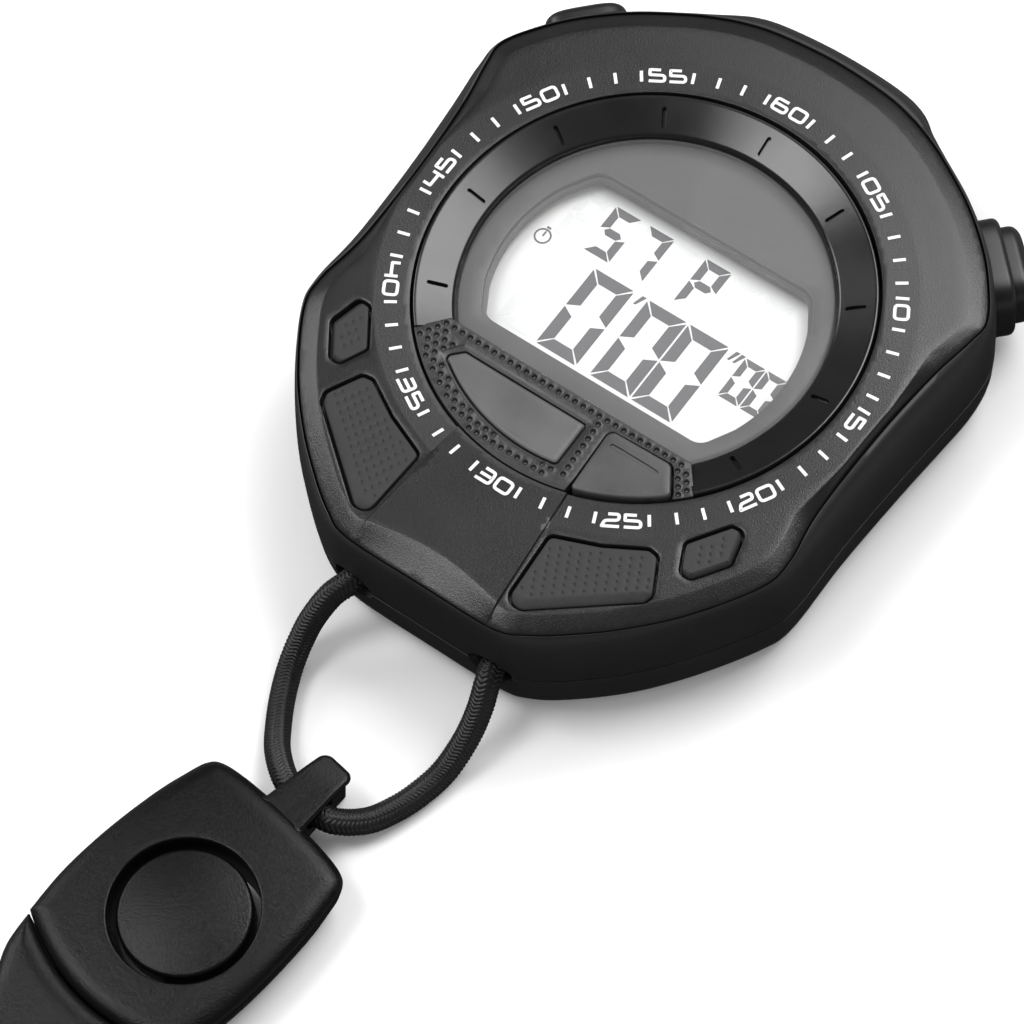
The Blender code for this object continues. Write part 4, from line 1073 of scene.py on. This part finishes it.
def segment_shapes(x0, x1, y0, y1, pen):
	"""A digit box's seven mitred segments, by letter."""
	middle, half, gap = (y0 + y1) / 2, pen / 2, 0.135 if pen > 1.2 else 0.1
	left, right = x0 + pen + gap * 0.4, x1 - pen - gap * 0.4

	def level(outer, inner):
		return [(x0 + gap, outer), (x1 - gap, outer), (right, inner), (left, inner)]

	def upright(outer, inner, near, far, sign):
		return [(outer, near + sign * gap * 0.7), (outer, far - sign * gap * 1.6),
			(inner, far - sign * (pen + gap)), (inner, near + sign * (half + gap))]

	return {
		"a": level(y1, y1 - pen), "d": level(y0, y0 + pen),
		"g": [(x0 + half + gap, middle), (left, middle + half), (right, middle + half),
			(x1 - half - gap, middle), (right, middle - half), (left, middle - half)],
		"b": upright(x1, x1 - pen, middle, y1, 1), "c": upright(x1, x1 - pen, middle, y0, -1),
		"f": upright(x0, x0 + pen, middle, y1, 1), "e": upright(x0, x0 + pen, middle, y0, -1),
	}

def flat_shapes(name, outlines, low, high, look):
	"""Thin closed bodies from convex outlines."""
	points, faces = [], []
	for loop in outlines:
		start, count = len(points), len(loop)
		under, over = range(start, start + count), range(start + count, start + 2 * count)
		points += at(loop, low) + at(loop, high)
		faces += [tuple(under)[::-1], tuple(over), *bands(under, over)]
	return piece(name, points, faces, look, sharp=30)

def build_display():
	low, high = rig.box("lcd_glass")
	glass_z = high.z / MM - GLASS_SINK
	loop = squircle((high.x - low.x) / MM, (high.y - low.y) / MM, 30, 120)
	glass = plate("liquid_crystal_glass", loop, glass_z - 0.9, glass_z - 0.02, "lcd", chamfer=0.1)
	keep(glass, "lcd", "lcd_glass")
	lit, faint = [], []
	for rows, on, off in ((DIGITS, lit, faint), (GHOSTS, faint, [])):
		for *row, (character, x0, x1) in [(*row[:3], digit) for row in rows for digit in row[3:]]:
			for letter, shape in segment_shapes(x0, x1, *row).items():
				(on if letter in SEGMENTS[character] else off).append(shape)
	for x in (-2.45, 9.95, 10.65):
		lit.append([(x, 0.75), (x + 0.38, 2.1), (x + 0.92, 2.1), (x + 0.28, 0.75)])
	keep(flat_shapes("display_digits", lit, glass_z - 0.03, glass_z + 0.012, "segment"), "lcd")
	keep(flat_shapes("display_unlit_digits", faint, glass_z - 0.03, glass_z + 0.008, "ghost"), "lcd")
	x, y = -15.6, 2.2
	strips = [(circle(1, 32, (x, y)), circle(0.8, 32, (x, y)), True)]
	for half, low_y, high_y in ((0.1, 0, 0.7), (0.25, 1.1, 1.35)):
		sides = [[(x + a, y + low_y), (x + a, y + high_y)] for a in (-half, half)]
		strips.append((*sides, False))
	icon = printed("display_timer_icon", strips, lambda x, y: np.full(x.shape, glass_z), "segment", 0.012, 0.03)
	keep(icon, "lcd")

# Side push buttons

def box_rings(size, *profile):
	"""Rounded square rings, from (shrink, z) pairs."""
	return [at(squircle(size[0] - 2 * shrink, size[1] - 2 * shrink, 4, 128), z) for shrink, z in profile]

def build_button(name, angle):
	place = button_frame(angle)
	top, cap_top = COLLAR_FACE_R, CAP_FACE_R
	edge = ((0, 36.7), (0, top - 0.7), (0.06, top - 0.4), (0.22, top - 0.15), (0.45, top))
	pocket = (CAP_SIZE[0] + 0.6, CAP_SIZE[1] + 0.6)
	rings = discs((0, 0), 128, (4.6, 31.5), (4.6, 36.7)) + box_rings(COLLAR_SIZE, *edge)
	rings += box_rings(pocket, (-0.15, top), (0, top - 0.15), (0, 38))
	rings += discs((0, 0), 128, (3.7, 38), (3.7, 33.2), (STEM_R + GAP, 33.2), (STEM_R + GAP, 31.5))
	keep(loft(f"{name}_guard", rings, "button", place, hollow=True), "case_shell", f"{name}_collar")

	stem = ((STEM_R, 29.9), (STEM_R, 30.4), (1.3, 30.4), (1.3, 31.5), (STEM_R, 31.5), (STEM_R, 39.3))
	profile = [(0.25, 39.3), (0, 39.5), (0, cap_top - 1.5)]
	for turn in [pi / 16 * step for step in range(1, 9)]:
		profile.append((1.5 * (1 - cos(turn)), cap_top - 1.5 + 1.3 * sin(turn)))
	profile += [(2.2, cap_top - 0.11), (3, cap_top - 0.05), (3.7, cap_top - 0.01)]
	cap = loft(f"{name}_button", discs((0, 0), 128, *stem) + box_rings(CAP_SIZE, *profile), "button", place)
	keep(cap, "case_shell", f"{name}_cap", body=f"{name}_button")

# Quick-release coupling

SOCKET_HALF = (
	(0, -2.7), (5.5, -2.9), (8.9, -3.4), (10.3, -4.5), (11, -7), (11.7, -11), (12.2, -17.5), (12.1, -23.5),
	(11.3, -28.8),
)
TAIL_HALF = ((11.08, -29.25), (10.2, -33), (8.2, -36.6), (6.3, -40.4), (5.3, -43.4), (2.8, -44.8))
SPLIT_HALF, SPLIT_Y, SPLIT_SAG = 11.3, -28.8, 2.8
FLOOR, ROOF = -EYE[2], CONNECTOR_TOP - EYE[2]
SOFT_EDGE = 2.2

def split_curve(lift):
	shares = [1 - i / 30 for i in range(1, 60)]
	return [(SPLIT_HALF * share, SPLIT_Y - SPLIT_SAG * (1 - share**2) - lift) for share in shares]

def narrowed(loop, distance):
	"""The coupling's loop drawn in at its sides and ends, but not at its split."""
	found = []
	for x, y in loop:
		ahead, astern = min(1, max(0, (y + 9) / 6)), min(1, max(0, (-38 - y) / 6))
		found.append((x * (1 - distance / 12), y + distance * (astern - ahead)))
	return found

def coupling_half(name, loop, walls, place, holes=(), lines=()):
	"""One half of the coupling: crowned across and a little along, with a soft edge all round."""
	loop = even(loop, 0.5, 0.12)

	def height(x, y):
		z = ROOF - 0.0045 * x**2 - where(y > -19, 0.0028, 0.0008) * (y + 19) ** 2
		z = z - fall(within(loop, x, y), SOFT_EDGE) / SOFT_EDGE
		return z - fall(hypot(x - DISC_PLACE[0], y - DISC_PLACE[1]) - DISC_HOLE_R, 0.25)

	lines = insets(loop, 0.04, 0.12, 0.25, 0.45, 0.7, 1, 1.4, 1.8, SOFT_EDGE) + list(lines)
	skirt = [(narrowed(loop, distance), z) for distance, z in walls]
	return relief(name, loop, height, "coupling", skirt, holes, lines=lines, spacing=0.7, place=place, sharp=50)

def build_connector():
	place = DIAL @ shift(*EYE) @ turned(CONNECTOR_TURN, "Z")
	floor, roof = FLOOR, ROOF
	side = smooth_curve(SOCKET_HALF, 84)
	loop = side + split_curve(0) + [(-x, y) for x, y in reversed(side[1:])]
	rims = [circle(DISC_HOLE_R + d, 160, DISC_PLACE) for d in (0, 0.05, 0.14, 0.26)]
	walls = ((0, 1.6), (0.05, 1.2), (0.4, -0.4), (1, -1.8), (1.7, -2.9), (2.3, floor))
	socket = coupling_half("coupling_upper", loop[::-1], walls, place, rims[:1], rims[1:])

	low, high = floor + 0.3, roof - 1.1
	tab_outline = filleted([(-2.9, -4, 0), (2.9, -4, 0), (2.15, 5.15, 1.2), (-2.15, 5.15, 1.2)])
	tab_outline = even(tab_outline, 0.3, 0.06)

	def tab_height(x, y):
		fallen = fall(within(tab_outline, x, y), 0.45) + 0.55 * maximum(0, (y - 0.6) / 4.5) ** 2
		return high - fallen - 0.02 * (y + 4)

	tab = relief("eye_tab", tab_outline, tab_height, "coupling", [(0.62, 0.6), (1, low)],
		lines=insets(tab_outline, 0.06, 0.18, 0.32, 0.46), spacing=0.3, place=place, sharp=60)
	bore = plate("eye_bore", circle(2, 64), -4, 4, "coupling", place @ turned(90, "Y") @ turned(90, "Z"))
	slot = block("tongue_slot", (10.4, 14, 3.2), (0, -31, -0.2), "coupling", place)
	combine(socket, tab, operation="UNION", sharp=55)
	combine(socket, bore, slot, sharp=55)
	keep(socket, "coupling", "connector_socket", body="connector")

	curve = smooth_curve(TAIL_HALF, 60)
	loop = curve[::-1] + split_curve(0.16) + [(-x, y) for x, y in curve]
	walls = ((0, 1.6), (0, 1.2), (0.12, 0), (0.6, -2), (1.1, -3), (1.5, floor))
	plug = coupling_half("coupling_lower", loop, walls, place)
	pocket = block("tongue_pocket", (9.8, 10, 3.2), (0, -31.2, -0.2), "coupling", place)
	tail_place = place @ shift(0, -41.2, 0)
	slot = plate("neck_cord_slot", squircle(7, 2.8, 3), floor - 1, roof + 1, "coupling", tail_place)
	combine(plug, pocket, slot, sharp=50)
	keep(plug, "coupling", "connector_plug", body="connector")

	tongue_place = place @ shift(0, TONGUE_ROOT_Y, 0)
	centre = (DISC_PLACE[0], DISC_PLACE[1] - TONGUE_ROOT_Y)
	profile = [(7, -0.8), (7.2, -0.6), (7.2, 2.5)]
	profile += [(6.7 + 0.5 * cos(t), 2.5 + 0.5 * sin(t)) for t in linspace(0.2, pi / 2, 6)]
	profile += [(r, 3 + 0.5 * (1 - (r / 6.7) ** 2)) for r in (5.6, 4.4, 3.2, 2, 1)]
	disc = loft("release_disc", discs(centre, 128, *profile), "coupling", tongue_place)
	strip = block("tongue_strip", (8.6, 13, 1.6), (0, 3.9, 0), "coupling", tongue_place)
	combine(disc, strip, operation="UNION", sharp=40)
	keep(disc, "coupling", "connector_tongue", body="release_tongue")

# Inner pieces, which keep their CAD shapes

def build_springs():
	"""The springs under the keys, which shorten as their key goes in."""
	for name, joint, axis, travel in (
		("start_stop_spring", "start_stop_press", polar(BUTTON_ANGLES[0]).to_3d(), 1.2),
		("lap_reset_spring", "lap_reset_press", polar(BUTTON_ANGLES[1]).to_3d(), 1.2),
		("mode_key_spring", "mode_press", Vector((0, 0, 1)), 0.8),
	):
		source = frame["nodes"][name]
		mesh = source.data.copy()
		mesh.transform(source.matrix_world)
		mesh.materials.clear()
		mesh.materials.append(LOOKS[SLOTS[name]])
		shaded(mesh, 40)
		spring = add_object(f"{name}_live", mesh)
		keep(spring, SLOTS[name], name)
		reach = [axis.dot(vertex.co) for vertex in mesh.vertices]
		middle = sum((vertex.co for vertex in mesh.vertices), Vector()) / len(mesh.vertices)
		anchor = middle + axis * (min(reach) - axis.dot(middle))
		left = 1 - (travel + 0.02) * MM / (max(reach) - min(reach))
		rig.squash(spring, joint, tuple(axis), tuple(anchor), keep=left)

def dress_inner_pieces():
	for name, obj in frame["nodes"].items():
		if not obj.hide_render:
			obj.data.materials.clear()
			obj.data.materials.append(LOOKS[SLOTS[name]])

# Floor and light

def studio_world():
	"""An even white room, in which glossy surfaces mirror a dimmer one."""
	world = bpy.data.worlds.new("studio")
	bpy.context.scene.world = world
	world.use_nodes = True
	nodes = world.node_tree.nodes
	background = put(nodes["Background"], Color=(1, 1, 1, 1))
	split = nodes.new("ShaderNodeSeparateXYZ")
	height = nodes.new("ShaderNodeMath")
	height.operation = "MULTIPLY_ADD"
	for socket in height.inputs[1:]:
		socket.default_value = 0.5
	levels = ((0, 0.03), (0.16, 0.03), (0.32, 0.4), (0.5, 0.34), (0.62, 0.1), (1, 0.13))
	mirrored = ramp(nodes, *[(position, [level] * 3) for position, level in levels])
	strength = nodes.new("ShaderNodeMix")
	strength.data_type = "FLOAT"
	put(strength, A=0.66)
	wire(
		world.node_tree, (nodes.new("ShaderNodeTexCoord"), "Generated", split, "Vector"), (split, "Z", height, 0),
		(height, "Value", mirrored, "Fac"), (nodes.new("ShaderNodeLightPath"), "Is Glossy Ray", strength, "Factor"),
		(mirrored, "Color", strength, "B"), (strength, "Result", background, "Strength"),
	)

def build_stage():
	mesh = bpy.data.meshes.new("floor")
	mesh.from_pydata([(-3, -3, 0), (3, -3, 0), (3, 3, 0), (-3, 3, 0)], [], [(0, 1, 2, 3)])
	mesh.materials.append(grained("floor_white", (0.86, 0.86, 0.86), 0.85, 2, 0, 0.005, 300))
	floor = add_object("floor", mesh)
	floor.visible_glossy = False
	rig.stage(floor)
	studio_world()
	for name, place, size, power in (
		("right_softbox", (0.17, 0.53, 0.83), 0.5, 6.4), ("left_softbox", (-0.51, -0.25, 1.19), 0.46, 6),
		("low_softbox", (-1.1, -0.07, 0.66), 0.46, 4.2), ("back_softbox", (-0.27, 0.74, 0.94), 0.34, 1.6),
	):
		data = bpy.data.lights.new(name, "AREA")
		data.shape = "RECTANGLE"
		data.size, data.size_y = size, size
		data.energy = power
		turn = (-Vector(place)).to_track_quat("-Z", "Y").to_matrix().to_4x4()
		add_object(name, data).matrix_world = Matrix.Translation(place) @ turn
	bpy.context.scene.view_settings.view_transform = "Standard"

build_camera()
cord, cord_line, cord_length = build_cord()
build_case()
build_back_details()
build_face()
build_grip_pads()
build_scale()
build_ring()
build_panel()
build_lens()
build_mask()
build_display()
build_button("start_stop", BUTTON_ANGLES[0])
build_button("lap_reset", BUTTON_ANGLES[1])
build_connector()
build_springs()
dress_inner_pieces()
build_stage()
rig.cord(
	cord, exit=cord_line[0], length=cord_length, diameter=CORD_DIAMETER * MM, far_end="object",
	stiffness="limp", lay="loose", path=cord_line,
	with_pieces=["coupling_upper", "coupling_lower", "release_disc", "cord_ferrule_left", "cord_ferrule_right"],
)
json.dump(
	{"cad": [[float(v) for v in corner] for corner in cad_bounds],
	 "visual": [[float(v) for v in corner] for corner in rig.bounds()]},
	open("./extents.json", "w"),
)
